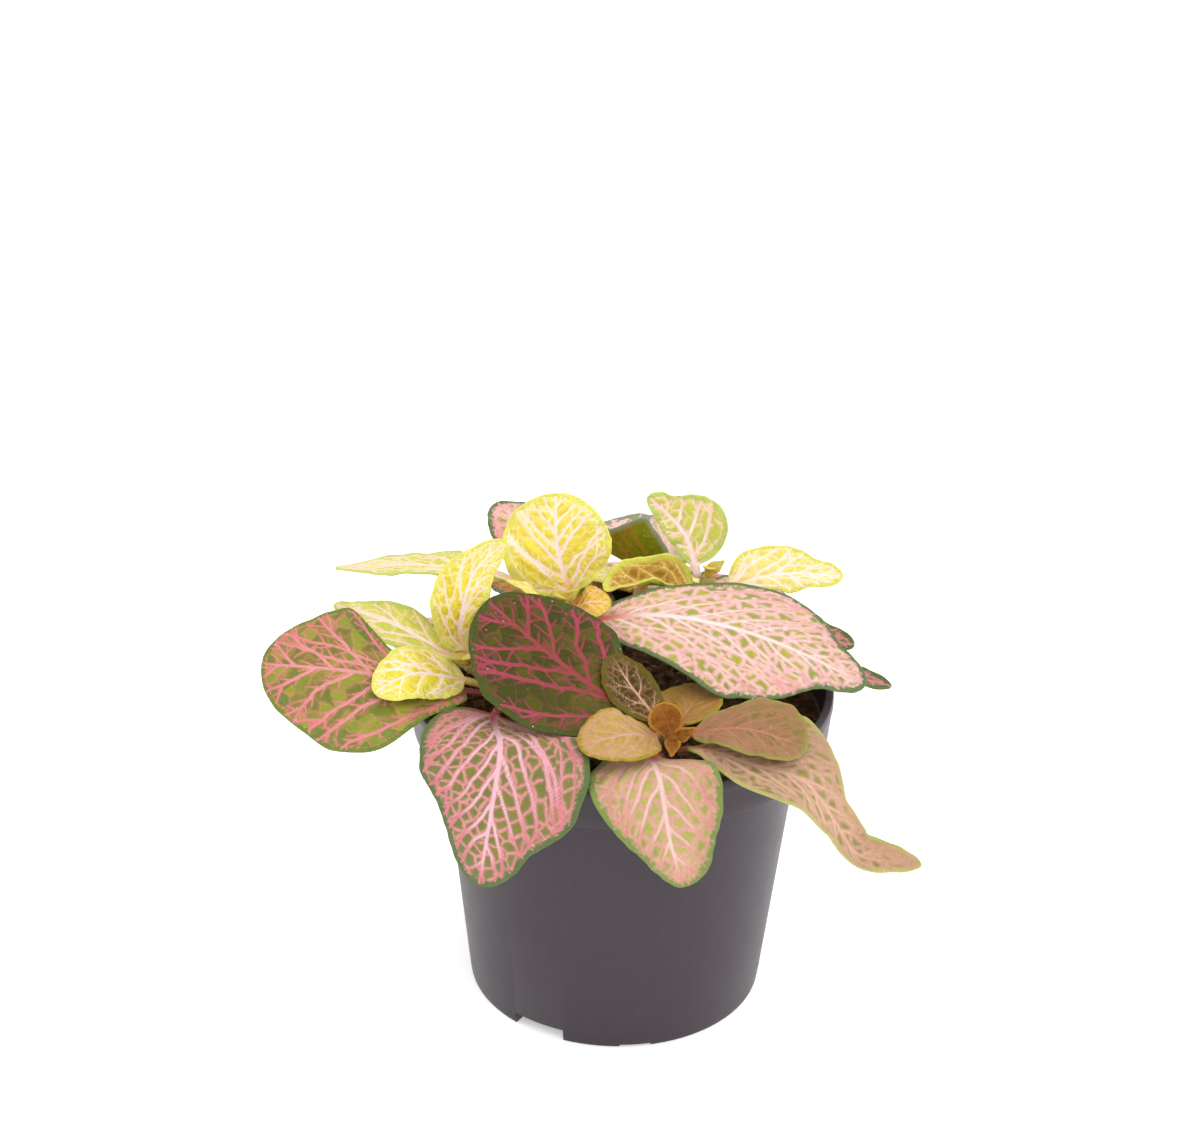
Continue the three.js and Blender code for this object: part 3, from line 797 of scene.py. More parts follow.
@dataclass(frozen=True)
class StemSkin:
    """The skin of stems and their hairs."""

    name: str
    low: RGB
    high: RGB
    blush: RGB

    def material(self) -> bpy.types.Material:
        """Builds the material: brown below, fresh above, with a blush in patches.

        Returns:
            The material.
        """
        g = Graph(self.name)
        place = g.place()
        height = g.node("SeparateXYZ", {0: place}, 2)
        patch = g.noise(place, 0.3, 3.0)
        grain = g.noise(place, 2.5, 3.0)
        colour = g.blend(height.ramp(88.0, 108.0), self.low, self.high)
        colour = g.blend(patch.ramp(0.45, 0.7) * 0.6, colour, self.blush)
        colour = g.shade(colour, grain * 0.4 + 0.8)
        g.bump(grain + patch, 0.12)
        return g.finish(Base_Color=colour, Roughness=grain * 0.2 + 0.45, Subsurface_Weight=0.15,
                        Subsurface_Radius=(1.0, 0.6, 0.3), Subsurface_Scale=1.0 * MM)


@dataclass(frozen=True)
class Paint:
    """The pale studio floor."""

    colour: RGB = (248, 248, 248)

    def material(self) -> bpy.types.Material:
        """Builds the material: white, with barely seen unevenness.

        Returns:
            The material.
        """
        g = Graph("studio_floor")
        colour = g.shade(g.blend(0.0, self.colour, self.colour), g.noise(g.place(), 0.004) * 0.02 + 0.98)
        return g.finish(Base_Color=colour, Roughness=0.9, Specular_IOR_Level=0.1,
                        Emission_Color=(1.0, 1.0, 1.0, 1.0), Emission_Strength=0.36)


# ---- leaves

class Curve:
    """A smooth line through points, read by its share of the length. Millimetres."""

    SAMPLES = 200

    def __init__(self, points: Array) -> None:
        """Measures the line once.

        Args:
            points: what the line runs through, points by three.
        """
        self.points = np.asarray(points, float)
        self.ticks = np.linspace(0, 1, self.SAMPLES + 1)
        steps = np.linalg.norm(np.diff(self._at(self.ticks), axis=0), axis=1)
        self.run = np.concatenate([[0], np.cumsum(steps)])
        self.length = float(self.run[-1])

    def _at(self, t: Array) -> Array:
        """Points at even steps from point to point.

        Args:
            t: how far along, 0 to 1, with the same step from each point to the next.

        Returns:
            The places there.
        """
        p = self.points
        last = len(p) - 1
        padded = np.vstack([2 * p[0] - p[1], p, 2 * p[-1] - p[-2]])
        place = np.clip(t, 0, 1) * last
        i = np.minimum(place.astype(int), last - 1)
        w = (place - i)[:, None]
        x0, x1, x2, x3 = (padded[i + k] for k in range(4))
        d0, d1, d2 = (np.sqrt(np.linalg.norm(b - a, axis=1))[:, None] for a, b in ((x0, x1), (x1, x2), (x2, x3)))
        m1 = ((x1 - x0) / d0 - (x2 - x0) / (d0 + d1) + (x2 - x1) / d1) * d1
        m2 = ((x2 - x1) / d1 - (x3 - x1) / (d1 + d2) + (x3 - x2) / d2) * d1
        return x1 + w * (m1 + w * (-3 * x1 + 3 * x2 - 2 * m1 - m2 + w * (2 * x1 - 2 * x2 + m1 + m2)))

    def at(self, share: Array) -> Tuple[Array, Array]:
        """Reads the line.

        Args:
            share: where, by length, 0 to 1.

        Returns:
            The points there, and the directions of travel.
        """
        t = np.interp(np.asarray(share) * self.length, self.run, self.ticks)
        return self._at(t), unit(self._at(t + 1e-4) - self._at(t - 1e-4))


@dataclass(frozen=True)
class Shoot:
    """A stem: where it leaves the soil, and its end. Millimetres."""

    name: str
    foot: Tuple[float, float]
    top: Point

    def at(self, share: Array) -> Tuple[Array, Array]:
        """Points and directions on the part above the soil.

        Args:
            share: how far up it, 0 to 1.

        Returns:
            The points there, and the unit directions upward.
        """
        s = np.asarray(share, float)[..., None]
        low = np.array([*self.foot, SOIL_TOP])
        top = np.array(self.top, float)
        bend = np.array([*self.foot, (SOIL_TOP + top[2]) / 2])
        point = (1 - s) ** 2 * low + 2 * s * (1 - s) * bend + s * s * top
        way = 2 * (1 - s) * (bend - low) + 2 * s * (top - bend)
        return point, unit(way)


def reach_at(widths: Sequence[float], t: Array) -> Array:
    """A blade's reach to one side.

    Args:
        widths: the reach at even steps between the blade's two round ends.
        t: where to read it, 0 to 1 along the blade.

    Returns:
        The reach at each t.
    """
    count = len(widths)
    u = np.arange(1, count + 1) / (count + 1)
    swell = np.asarray(widths) / np.sqrt(4 * u * (1 - u))
    swell = np.concatenate([swell[:1], swell, swell[-1:]])
    place = np.clip(t * (count + 1) - 1, 0, count - 1)
    i = np.minimum(place.astype(int), count - 2)
    x = place - i
    a, b, c, d = (swell[i + k] for k in range(4)) if count > 1 else (swell[0],) * 4
    smoothed = b + 0.5 * x * (c - a + x * (2 * a - 5 * b + 4 * c - d + x * (3 * (b - c) + d - a)))
    return smoothed * np.sqrt(np.clip(4 * t * (1 - t), 0, 1))


def round_leaf(reach: float) -> List[float]:
    """Reaches of a round outline."""
    return [0.8 * reach, 0.98 * reach, 0.98 * reach, 0.8 * reach]


def oval_leaf(reach: float) -> List[float]:
    """Reaches of an oval outline."""
    return [0.75 * reach, reach, 0.92 * reach, 0.6 * reach]


@dataclass
class VeinTree:
    """The veins of one leaf laid flat: a midrib, side veins that fork before the margin, and their twigs.

    Millimetres but where the notes say otherwise.
    plan: how they are laid out.
    outline: the blade's edge, points by two.
    length: from the blade's base to its tip.
    rng: what makes each vein a little different.
    """

    plan: VeinPlan
    outline: Array
    length: float
    rng: np.random.Generator

    STEP = 0.7  # from point to point of a vein
    START = 0.3  # where the veins that fan out from the base leave the midrib
    TIP_GAP = 0.8  # what the midrib stops short of the tip
    FANNED = 6  # the most veins that fan out from the base on each half
    OWN = 1.3  # veins closer than this to where a vein starts are not in its way
    NEAR = 0.5  # a twig that comes this close to another vein joins it
    FAR = 2.5  # the farthest from a vein that is measured
    FREE = (1.2, 1.5, 2.0)  # how long a vein is before it may end, fork, or join another
    FORK_RIM, FORK_TURN = (3.0, 6.5), (24, 34)  # how far from the rim a vein forks, and by how many degrees
    AFTER_FORK = 9.0  # degrees by which a vein turns away from its fork
    DRIFT, DRIFT_KEPT = 6, 0.75  # degrees of random turn at each step, and the share of it that stays
    TWIG_TURN, TWIG_LENGTH = (30, 50), (0.6, 1.5)  # degrees, and shares of the plan's length
    FIRST_TWIG, NEXT_TWIG = (0.2, 0.5), (0.35, 0.65)  # along the parent, in the plan's cells

    def __post_init__(self) -> None:
        """Grows the midrib, the side veins of each half, the veins that fan out from the base, then the twigs."""
        plan = self.plan
        x = np.arange(-1.0, self.length - self.TIP_GAP, self.STEP)
        taper = 1 - 0.65 * np.clip(x / self.length, 0, 1)
        self.lines = [np.stack([x, 0 * x, plan.midrib * taper, 0 * x], axis=1)]
        spacing = self.length / plan.pairs
        for hand, offset in ((-1, 0.0), (1, OFFSET)):
            for k in range(1, math.ceil(plan.pairs)):
                self._vein((k - offset) * spacing, 0.0, plan.angle, hand, plan.rib * (1 - 0.3 * k / plan.pairs), 0)
            for k in range(self.FANNED):
                rise = (k + offset) * math.sin(plan.angle * DEGREE) * plan.fan * DEGREE * FAN_STEP
                if rise < 1:
                    turn = plan.angle + math.asin(rise) / DEGREE
                    self._vein(self.START, 0.0, turn, hand, plan.rib * (0.95 - 0.1 * k), 0, straight=True)
        if plan.twigs:
            for parent in list(self.lines):
                self._twigs(parent, plan.rib * 0.62, plan.twigs)

    def _vein(self, x: float, y: float, turn: float, hand: int, half: float, order: float, most: float = 99.0,
              straight: bool = False) -> None:
        """Grows one vein until it comes to the margin, or to another vein, or is long enough.

        Args:
            x: along the blade, where it starts.
            y: beside the midrib, where it starts.
            turn: the angle between it and the midrib, in degrees.
            hand: -1 or 1, the half of the blade that it is in.
            half: half its width at its start.
            order: 0 for a side vein, 0.3 and 0.6 for its forks and 1 for a twig.
            most: the longest that it may grow.
            straight: whether it keeps its angle in place of the plan's bow.
        """
        plan, rng = self.plan, self.rng
        may_end, may_fork, may_join = self.FREE
        at, rows, drift, gone = np.array([x, y]), [], 0.0, 0.0
        older = np.vstack(self.lines)[:, :2]
        older = older[np.hypot(*(older - at).T) > self.OWN]
        stop = plan.border * rng.uniform(0.7, 1.1)
        fork_at = rng.uniform(*self.FORK_RIM) * (1 - 0.8 * order)
        lean = before = 0.0
        while gone < most:
            rim = float(np.min(np.hypot(*(self.outline - at).T)))
            width = half * (1 - 0.5 * gone / most if order == 1 else 0.6 + 0.4 * min(rim / 7, 1))
            rows.append((*at, width, order))
            closing = rim < before
            before = rim
            if gone > may_end and (rim < stop and closing or hand * at[1] < 0.2 or not self._inside(at)):
                break
            if order < plan.forks and gone > may_fork and rim < fork_at and closing:
                side = rng.choice([-1, 1])
                fork_at, lean = -1.0, -self.AFTER_FORK * side
                fork_turn = bent + side * rng.uniform(*self.FORK_TURN)
                self._vein(*at, fork_turn, hand, width * 0.9, order + 0.3, straight=True)
            if order == 1 and gone > may_join and len(older):
                apart = np.hypot(*(older - at).T)
                if apart.min() < self.NEAR:
                    rows.append((*older[apart.argmin()], width, order))
                    break
            drift = drift * self.DRIFT_KEPT + rng.normal(0, self.DRIFT * plan.wander)
            bow = 0.0 if straight else 2 * plan.bow * abs(at[1])
            bent = turn if straight else math.atan2(1, 1 / math.tan(turn * DEGREE) + bow) / DEGREE
            way = (bent + lean + drift) * DEGREE
            at = at + self.STEP * np.array([math.cos(way), hand * math.sin(way)])
            gone += self.STEP
        if len(rows) > 1:
            self.lines.append(np.array(rows))

    def _twigs(self, parent: Array, half: float, reach: float) -> None:
        """Grows twigs to both sides of a vein, by turns.

        Args:
            parent: the vein's points.
            half: half a twig's width at its start.
            reach: about how long a twig is.
        """
        rng, side = self.rng, self.rng.choice([-1, 1])
        gone, due = 0.0, self.plan.cell * rng.uniform(*self.FIRST_TWIG)
        for before, point in zip(parent, parent[1:]):
            step = point[:2] - before[:2]
            gone += float(np.hypot(*step))
            if gone < due or point[0] < 0:
                continue
            due = gone + self.plan.cell * rng.uniform(*self.NEXT_TWIG)
            middle = abs(point[1]) < 0.01
            hand = int(side) if middle else int(np.sign(point[1]))
            turn = 0.0 if middle else math.atan2(hand * step[1], step[0]) / DEGREE
            spread = rng.uniform(*self.TWIG_TURN)
            self._vein(point[0], point[1], turn + (spread if middle else side * spread), hand,
                       min(half, 0.8 * point[2]), 1, reach * rng.uniform(*self.TWIG_LENGTH), straight=True)
            side = -side

    def _inside(self, at: Array) -> bool:
        """Whether a place is on the blade.

        Args:
            at: the place, along the blade and beside its midrib.

        Returns:
            True inside the outline.
        """
        a, b = self.outline, np.roll(self.outline, -1, axis=0)
        crossed = (a[:, 1] > at[1]) != (b[:, 1] > at[1])
        rise = np.where(crossed, b[:, 1] - a[:, 1], 1.0)
        return bool(np.sum(crossed & (at[0] < a[:, 0] + (at[1] - a[:, 1]) / rise * (b[:, 0] - a[:, 0]))) % 2)

    def read(self, x: Array, y: Array) -> Tuple[Array, Array]:
        """Finds the nearest vein.

        Args:
            x: along the flat blade.
            y: beside its midrib.

        Returns:
            How far each place is outside that vein's edge, less than 0 on the vein, and the vein's order.
        """
        places = np.stack([x, y], axis=-1).reshape(-1, 2)
        best, order = np.full(x.size, self.FAR), np.zeros(x.size)
        for line in self.lines:
            low, high = line[:, :2].min(axis=0) - self.FAR, line[:, :2].max(axis=0) + self.FAR
            close = np.flatnonzero(np.all((places > low) & (places < high), axis=1))
            a, b = line[:-1], line[1:]
            way = (b - a)[:, :2]
            here = places[close, None]
            w = np.clip(np.sum((here - a[:, :2]) * way, axis=-1) / np.sum(way * way, axis=-1), 0, 1)
            apart = np.linalg.norm(here - a[:, :2] - w[..., None] * way, axis=-1) - lerp(a[:, 2], b[:, 2], w)
            nearest = apart.min(axis=1, initial=self.FAR)
            better = nearest < best[close]
            best[close[better]] = nearest[better]
            order[close[better]] = line[0, 3]
        return best.reshape(x.shape), order.reshape(x.shape)


@dataclass
class Leaf:
    """One leaf, from its petiole's root to its tip. Millimetres and degrees.

    root: where the petiole leaves the stem.
    midrib: points that it runs through after its root.
    face: directions its upper side looks in, base to tip.
    left, right: reaches of the two halves.
    stalk: the petiole's share of the length.
    curl, fold: how far each half bends up to its edge, base to tip, and is folded up at the midrib.
    lobe: how far the base reaches back on the left and on the right.
    wave: how far the edge ripples up and down.
    inset: how far the petiole's closed end lies behind its root.
    relief: how deep the upper side is quilted, 1 for a grown leaf.
    """

    name: str
    root: Array
    midrib: Sequence[Point]
    face: Sequence[Point]
    left: Sequence[float]
    right: Sequence[float]
    finish: LeafFinish
    veins: VeinPlan = VeinPlan()
    growth: Growth = Growth.FULL
    stalk: float = 0.1
    curl: Sequence[float] = (0.0,)
    fold: float = 0.0
    lobe: Tuple[float, float] = (0.0, 0.0)
    wave: float = 0.6
    thickness: float = 0.55
    inset: float = 0.8
    seed: int = 0
    relief: float = 1.0

    FINER = 1.3  # points are this many times as dense as the growth's spacing says, as some bunch up
    STALK_STEP = 0.9  # between the rows of the petiole
    BLADE_FROM = 4.0  # a half that reaches this far past the petiole's is all blade
    SCALLOP, EDGE_RIPPLE = 0.09, 0.1  # how far the outline goes in and out: with the veins, and unevenly
    SMALL_LEAF = 40.0  # leaves shorter than this have lower scallops
    QUILT, GROOVE, GROOVE_HALF, KEEL = 0.2, 0.3, 0.9, 0.55  # cups between veins; the midrib, above and below
    EDGE_ROUND = 0.4  # the width in which the edge thins to nothing
    MAP_GAP, MAP_LONG, MAP_WIDE = 0.02, 0.96, 0.46  # how the flat map is laid out

    def build(self) -> Piece:
        """Makes the leaf's closed mesh, with its surface numbers and its flat map, and dresses it.

        Returns:
            The leaf.
        """
        upper, lower, fields, flat = self._surfaces()
        sheets = [self._sheet("upper", upper, fields, flat, 0), self._sheet("lower", lower, fields, flat, 1)]
        edit(sheets[1], ("flip_normals", {}))
        piece = join(sheets, self.name)
        edit(piece, ("remove_doubles", {"threshold": WELD}))
        skin = LeafSkin(f"skin_{self.name}", self.finish, self.veins, float(self.seed % 23) * 1.31)
        return dress(piece, skin.material())

    def _sheet(self, name: str, points: Array, fields: Array, flat: Array, under: int) -> Piece:
        """One side of the leaf, as a grid whose points carry the leaf's numbers.

        Args:
            name: what the side is called until it is joined.
            points: places, rows by columns by three.
            fields: the numbers, in the order of FIELDS, rows by columns each.
            flat: the leaf laid flat, rows by columns by two.
            under: 1 for the underside.

        Returns:
            The side's mesh.
        """
        rows, columns = points.shape[:2]
        piece = basic("grid", x_subdivisions=columns - 1, y_subdivisions=rows - 1, size=1, calc_uvs=False)
        piece.name = name
        set_points(piece, points)
        mesh = piece.data
        for key, values in zip(FIELDS, fields):
            carry(piece, key, values)
        carry(piece, "under", np.full(len(mesh.polygons), under), "FACE")
        low, high = flat.min(axis=(0, 1)), flat.max(axis=(0, 1))
        scale = min(self.MAP_LONG / (high[0] - low[0]), self.MAP_WIDE / (high[1] - low[1]))
        u = self.MAP_GAP + (flat[..., 1] - low[1]) * scale + 0.5 * under
        v = self.MAP_GAP + (flat[..., 0] - low[0]) * scale
        spots = np.stack([u, v], axis=-1).reshape(-1, 2)
        corners = np.empty(len(mesh.loops), np.int32)
        mesh.loops.foreach_get("vertex_index", corners)
        flat_map = mesh.uv_layers.new(name="OFBake")
        flat_map.data.foreach_set("uv", spots[corners].reshape(-1).astype(np.float32))
        return piece

    def _surfaces(self) -> Tuple[Array, Array, Array, Array]:
        """Works out the two sides of the leaf.

        Returns:
            The upper and the lower side, the surface numbers, and the leaf laid flat.
        """
        waves, spacing = self.growth.value
        rng = np.random.default_rng(self.seed)
        spine = Curve(np.vstack([self.root, np.asarray(self.midrib, float)]))
        share, stalk_rows = self._stations(spine.length, spacing)
        middle, forward = spine.at(share)
        up = stops(self.face, share)
        up = unit(up - forward * np.sum(up * forward, axis=1, keepdims=True))
        side = np.cross(forward, up)

        # the outline: t runs along the blade, v from the midrib to the edge
        t = np.clip((share - self.stalk) / (1 - self.stalk), 0, 1)[:, None]
        half_count = max(5, math.ceil(max(*self.left, *self.right) * self.FINER / spacing))
        s = np.linspace(-1, 1, 2 * half_count + 1)[None, :]
        sign, a, hand = np.sign(s), np.abs(s), (s > 0).astype(float)
        stalk_half = lerp(PETIOLE_HALF, 0.0, t)
        half = np.maximum(lerp(reach_at(self.left, t), reach_at(self.right, t), hand), stalk_half)
        blade = np.clip((half - stalk_half) / self.BLADE_FROM, 0, 1)
        v = lerp(np.sin(np.pi / 2 * a), 0.5 * a + 0.5 * np.sin(np.pi / 2 * a), blade)
        reach_along = spine.length * (share - self.stalk)[:, None]
        edge_line = self._vein_line(reach_along, half, spine.length) + OFFSET * hand
        scallop = self.SCALLOP + self.SCALLOP * np.cos(TURN * edge_line)
        half = half - blade * scallop * min(1.0, spine.length / self.SMALL_LEAF)
        half = half + blade * self.EDGE_RIPPLE * self._ripple(rng, t, hand, 6)

        # the sheet: folded at the midrib, bent up to the edge, and wavy along it
        widest = lerp(max(self.left), max(self.right), hand)
        start = self.fold * DEGREE * blade
        bend = (stops(self.curl, share)[:, None] * DEGREE + 1e-4) / widest
        angle = start + bend * v * half
        out = (np.sin(angle) - np.sin(start)) / bend
        lift = (np.cos(start) - np.cos(angle)) / bend
        lift = lift + self.wave * blade * v * v * np.sin(TURN * waves * t + 2.2 * hand)
        lift = lift + self.wave * 0.35 * blade * v ** 3 * self._ripple(rng, t, hand, 5)
        back = lerp(*self.lobe, hand) * v * v * (1 - t) ** 2 * (half - stalk_half) / widest
        normal = up[:, None] * np.cos(angle)[..., None] - side[:, None] * (sign * np.sin(angle))[..., None]
        sheet = middle[:, None] + side[:, None] * (sign * out)[..., None] + up[:, None] * lift[..., None]
        sheet = sheet - forward[:, None] * back[..., None]

        # the leaf laid flat, with its veins
        x, y = reach_along - back, sign * v * half
        outline = np.concatenate([np.stack([x[stalk_rows:, i], y[stalk_rows:, i]], axis=1)[::turn]
                                  for i, turn in ((0, 1), (-1, -1))])
        rim = self._rim(x, y, outline)
        line = self._vein_line(x, np.abs(y), spine.length)
        slant = self.veins.angle * DEGREE
        run = x * math.cos(slant) + np.abs(y) * math.sin(slant)
        pitch = self._pitch(line, x, y)
        along = np.broadcast_to(np.where(t > 0, t, (share - self.stalk)[:, None] / max(self.stalk, 0.01)), y.shape)
        gap, order = VeinTree(self.veins, outline, spine.length * (1 - self.stalk), rng).read(x, y)

        # the relief and the thickness, which ends in a round edge
        calm = blade * smooth(0.5, 3.0, rim) * smooth(0.3, 3.5, np.abs(y)) * smooth(1.0, 3.0, pitch)
        quilt = np.cos(TURN * (line + OFFSET * hand)) * calm
        groove = np.exp(-((y / self.GROOVE_HALF) ** 2)) * blade * (1 - 0.7 * t)
        sheet = sheet - normal * (self.relief * (self.QUILT * quilt + self.GROOVE * groove))[..., None]
        edge = np.clip((1 - v) * half / self.EDGE_ROUND, 0, 1)
        round_thick = PETIOLE_THICK * np.sqrt(np.clip(1 - v * v, 0, 1))
        flat_thick = self.thickness * np.sqrt(np.clip(1 - (1 - edge) ** 2, 0, 1))
        thick = lerp(lerp(round_thick, flat_thick, t), flat_thick, blade)
        keel = self.relief * groove * self.KEEL * edge
        upper = sheet + normal * (thick / 2)[..., None]
        lower = sheet - normal * (thick / 2 + keel)[..., None]

        # both ends closed to a point
        foot, tip = middle[0] - forward[0] * self.inset, middle[-1]
        upper, lower = (np.concatenate([np.broadcast_to(foot, (1, *w.shape[1:])), w[:-1],
                                        np.broadcast_to(tip, (1, *w.shape[1:]))]) for w in (upper, lower))
        fields = np.stack([line, run, pitch, rim, y, along, gap, order])
        fields = np.concatenate([fields[:, :1], fields], axis=1)
        flat = np.stack([x, y], axis=-1)
        flat = np.concatenate([flat[:1] - [[[self.inset, 0]]], flat])
        return upper, lower, fields, flat

    def _stations(self, length: float, spacing: float) -> Tuple[Array, int]:
        """Where the rows of points lie. The blade's are closer together towards its two ends.

        Args:
            length: of the whole midrib.
            spacing: about how far the blade's rows are apart.

        Returns:
            Each row's share of the length, and how many rows are the petiole's.
        """
        blade_rows = max(10, math.ceil((1 - self.stalk) * length * self.FINER / spacing))
        stalk_rows = max(4, math.ceil(self.stalk * length / self.STALK_STEP))
        tick = np.linspace(0, 1, blade_rows + 1)
        eased = 0.5 * tick + 0.25 - 0.25 * np.cos(np.pi * tick)
        stalk_part = np.linspace(0, self.stalk, stalk_rows, endpoint=False)
        return np.concatenate([stalk_part, self.stalk + (1 - self.stalk) * eased]), stalk_rows

    def _vein_line(self, x: Array, far: Array, length: float) -> Array:
        """Numbers the side veins, which run where the number stays the same.

        Args:
            x: how far along the flat blade.
            far: how far from its midrib.
            length: of the whole midrib.

        Returns:
            The number at each place, negative between the veins that fan out from the blade's base.
        """
        start = x - far / math.tan(self.veins.angle * DEGREE) - self.veins.bow * far * far
        gap = length * (1 - self.stalk) / self.veins.pairs
        spread = np.maximum(np.hypot(x, far), 0.6) * self.veins.fan * DEGREE * FAN_STEP
        return np.where(start > 0, start / gap, start / spread)

    @staticmethod
    def _ripple(rng: np.random.Generator, t: Array, hand: Array, waves: int) -> Array:
        """An uneven ripple along the blade, different on its two halves, about -1 to 1.

        Args:
            rng: what the ripple is drawn from.
            t: how far along the blade, 0 to 1.
            hand: 0 on the left half, 1 on the right.
            waves: about how many waves it has.

        Returns:
            The ripple at each place.
        """
        total = 0.0
        for i in range(3):
            phase = rng.uniform(0, TURN, 2)
            count = waves * (0.6 + 0.45 * i) + rng.uniform(-0.5, 0.5)
            total = total + np.sin(TURN * count * t + lerp(phase[0], phase[1], hand)) / 2
        return total

    @staticmethod
    def _pitch(line: Array, x: Array, y: Array) -> Array:
        """Millimetres between side veins, from how fast `line` changes over the flat leaf.

        Args:
            line: the number of the side vein.
            x, y: places on the flat leaf.

        Returns:
            The spacing at each place, kept within what a leaf has.
        """
        (line_i, line_j), (x_i, x_j), (y_i, y_j) = (np.gradient(w) for w in (line, x, y))
        area = x_i * y_j - y_i * x_j
        area = np.where(np.abs(area) < 1e-4, 1e-4, area)
        slope = np.hypot((line_i * y_j - y_i * line_j) / area, (x_i * line_j - line_i * x_j) / area)
        return np.clip(1 / np.maximum(slope, 1e-3), 0.4, 14)

    @staticmethod
    def _rim(x: Array, y: Array, outline: Array) -> Array:
        """Millimetres from each point of the flat leaf to the blade's outline.

        Args:
            x, y: places on the flat leaf.
            outline: the blade's edge, points by two.

        Returns:
            The distance of each place.
        """
        a, b = outline[:-1], outline[1:]
        d = b - a
        long = np.maximum(np.sum(d * d, axis=1), 1e-9)
        p = np.stack([x.reshape(-1), y.reshape(-1)], axis=1)
        best = np.full(len(p), 1e9)
        for k in range(len(a)):
            w = np.clip(((p - a[k]) @ d[k]) / long[k], 0, 1)
            best = np.minimum(best, np.hypot(*(p - a[k] - w[:, None] * d[k]).T))
        return best.reshape(x.shape)


# ---- the pot and the peat

@dataclass
class Pot:
    """The nursery pot: a tapered body, a collar and rim, and a foot with drain channels."""

    height: float = 96
    rim: float = 60
    collar: float = 59
    collar_height: float = 13
    shoulder: float = 51.7
    foot: float = 42.5
    wall: float = 1.4
    floor: float = 1.6
    lip: float = 2.5
    sides: int = 144
    channel_turn: float = 240
    channel_width: float = 16
    channel_height: float = 4
    channel_inner: float = 17
    hole: float = 3.2
    holes: Tuple[float, float] = (24, 34)
    nick_turn: float = 279
    nick_width: float = 9
    nick_height: float = 0.9
    soft_edge: float = 0.25
    finish: Plastic = Plastic()

    PAST = 5  # how far the cutting pieces reach past the foot
    SHARP_FROM, BEVEL_FROM = 32, 50  # degrees from which an edge looks sharp, and is rounded

    def body_radius(self, z: float) -> float:
        """Outer radius of the body at a height."""
        return self.foot + (self.shoulder - self.foot) * z / (self.height - self.collar_height)

    def build(self) -> Piece:
        """Models the pot and dresses it.

        Returns:
            The pot.
        """
        step = self.height - self.collar_height
        outside = [
            (self.foot - 1.1, 0), (self.foot - 0.5, 0.08), (self.foot - 0.12, 0.3), (self.foot, 0.7),
            (self.body_radius(2.4), 2.4), (self.body_radius(step / 2), step / 2),
            (self.body_radius(step - 3), step - 3), (self.body_radius(step - 2), step - 2.1),
            (self.shoulder + 0.5, step - 1.3), (self.collar - 2, step - 0.1), (self.collar - 0.8, step),
            (self.collar - 0.2, step + 0.25), (self.collar, step + 0.8), (self.collar + 0.35, step + 4.2),
            (self.rim - 0.35, self.height - 4.4), (self.rim - 0.18, self.height - 3.6),
            (self.rim, self.height - 3.1), (self.rim, self.height - 0.9), (self.rim - 0.25, self.height - 0.3),
            (self.rim - 0.8, self.height),
        ]
        inside = [
            (self.rim - self.lip + 0.5, self.height), (self.rim - self.lip + 0.1, self.height - 0.25),
            (self.rim - self.lip, self.height - 0.8), (self.collar - self.wall + 0.1, step + 2.6),
            (self.collar - self.wall - 0.4, step + 1.6), (self.shoulder - self.wall + 0.2, step + 0.2),
            (self.shoulder - self.wall, step - 0.6), (self.body_radius(30) - self.wall, 30),
            (self.body_radius(4) - self.wall, 4), (self.body_radius(self.floor) - self.wall - 1, self.floor),
        ]
        piece = turned("pot_shell", outside + inside, self.sides)
        roof = self.channel_height + self.floor
        ways = [self.channel_turn + turn for turn in THIRDS]
        tunnel_half = self.channel_width / 2 + self.wall
        tunnels = [bar(way, self.channel_inner - self.wall, math.sqrt(self.foot ** 2 - tunnel_half ** 2) - 0.4,
                       2 * tunnel_half, 0.02, roof) for way in ways]
        boolean(piece, join(tunnels, "tunnels"), "UNION")
        cuts = [bar(way, self.channel_inner, self.foot + self.PAST, self.channel_width, -1, self.channel_height)
                for way in ways]
        cuts += [bar(self.nick_turn + turn, self.foot - self.wall - 3, self.foot + self.PAST, self.nick_width, -1,
                     self.nick_height) for turn in THIRDS]
        boolean(piece, join(cuts, "channels"), "DIFFERENCE")
        drills = [drill(way, radius, roof, self.hole) for way in ways for radius in self.holes]
        boolean(piece, join(drills, "drills"), "DIFFERENCE")
        bevel = piece.modifiers.new("soft_edges", "BEVEL")
        bevel.width, bevel.segments, bevel.limit_method = self.soft_edge * MM, 2, "ANGLE"
        bevel.angle_limit = self.BEVEL_FROM * DEGREE
        apply_modifiers(piece)
        return dress(piece, self.finish.material(), self.SHARP_FROM)


def turned(name: str, profile: Sequence[Tuple[float, float]], sides: int) -> Piece:
    """Turns a profile about +Z by extruding a disc from ring to ring.

    Args:
        name: the piece's name.
        profile: radius and height of each ring, the first and last closed by a face.
        sides: points round a ring.

    Returns:
        The closed piece.
    """
    radius, z = profile[0]
    piece = basic("circle", vertices=sides, radius=radius * MM, fill_type="NGON", location=(0, 0, z * MM))
    bpy.ops.object.transform_apply(location=True, rotation=False, scale=False)
    piece.name = name
    bpy.ops.object.mode_set(mode="EDIT")
    bpy.ops.mesh.select_all(action="SELECT")
    for (r0, z0), (r1, z1) in zip(profile, profile[1:]):
        bpy.ops.mesh.extrude_region_move(TRANSFORM_OT_translate={"value": (0, 0, (z1 - z0) * MM)})
        scale = r1 / r0
        bpy.ops.transform.resize(value=(scale, scale, 1), center_override=(0, 0, z1 * MM))
    bpy.ops.mesh.select_all(action="SELECT")
    bpy.ops.mesh.normals_make_consistent(inside=False)
    bpy.ops.object.mode_set(mode="OBJECT")
    return piece


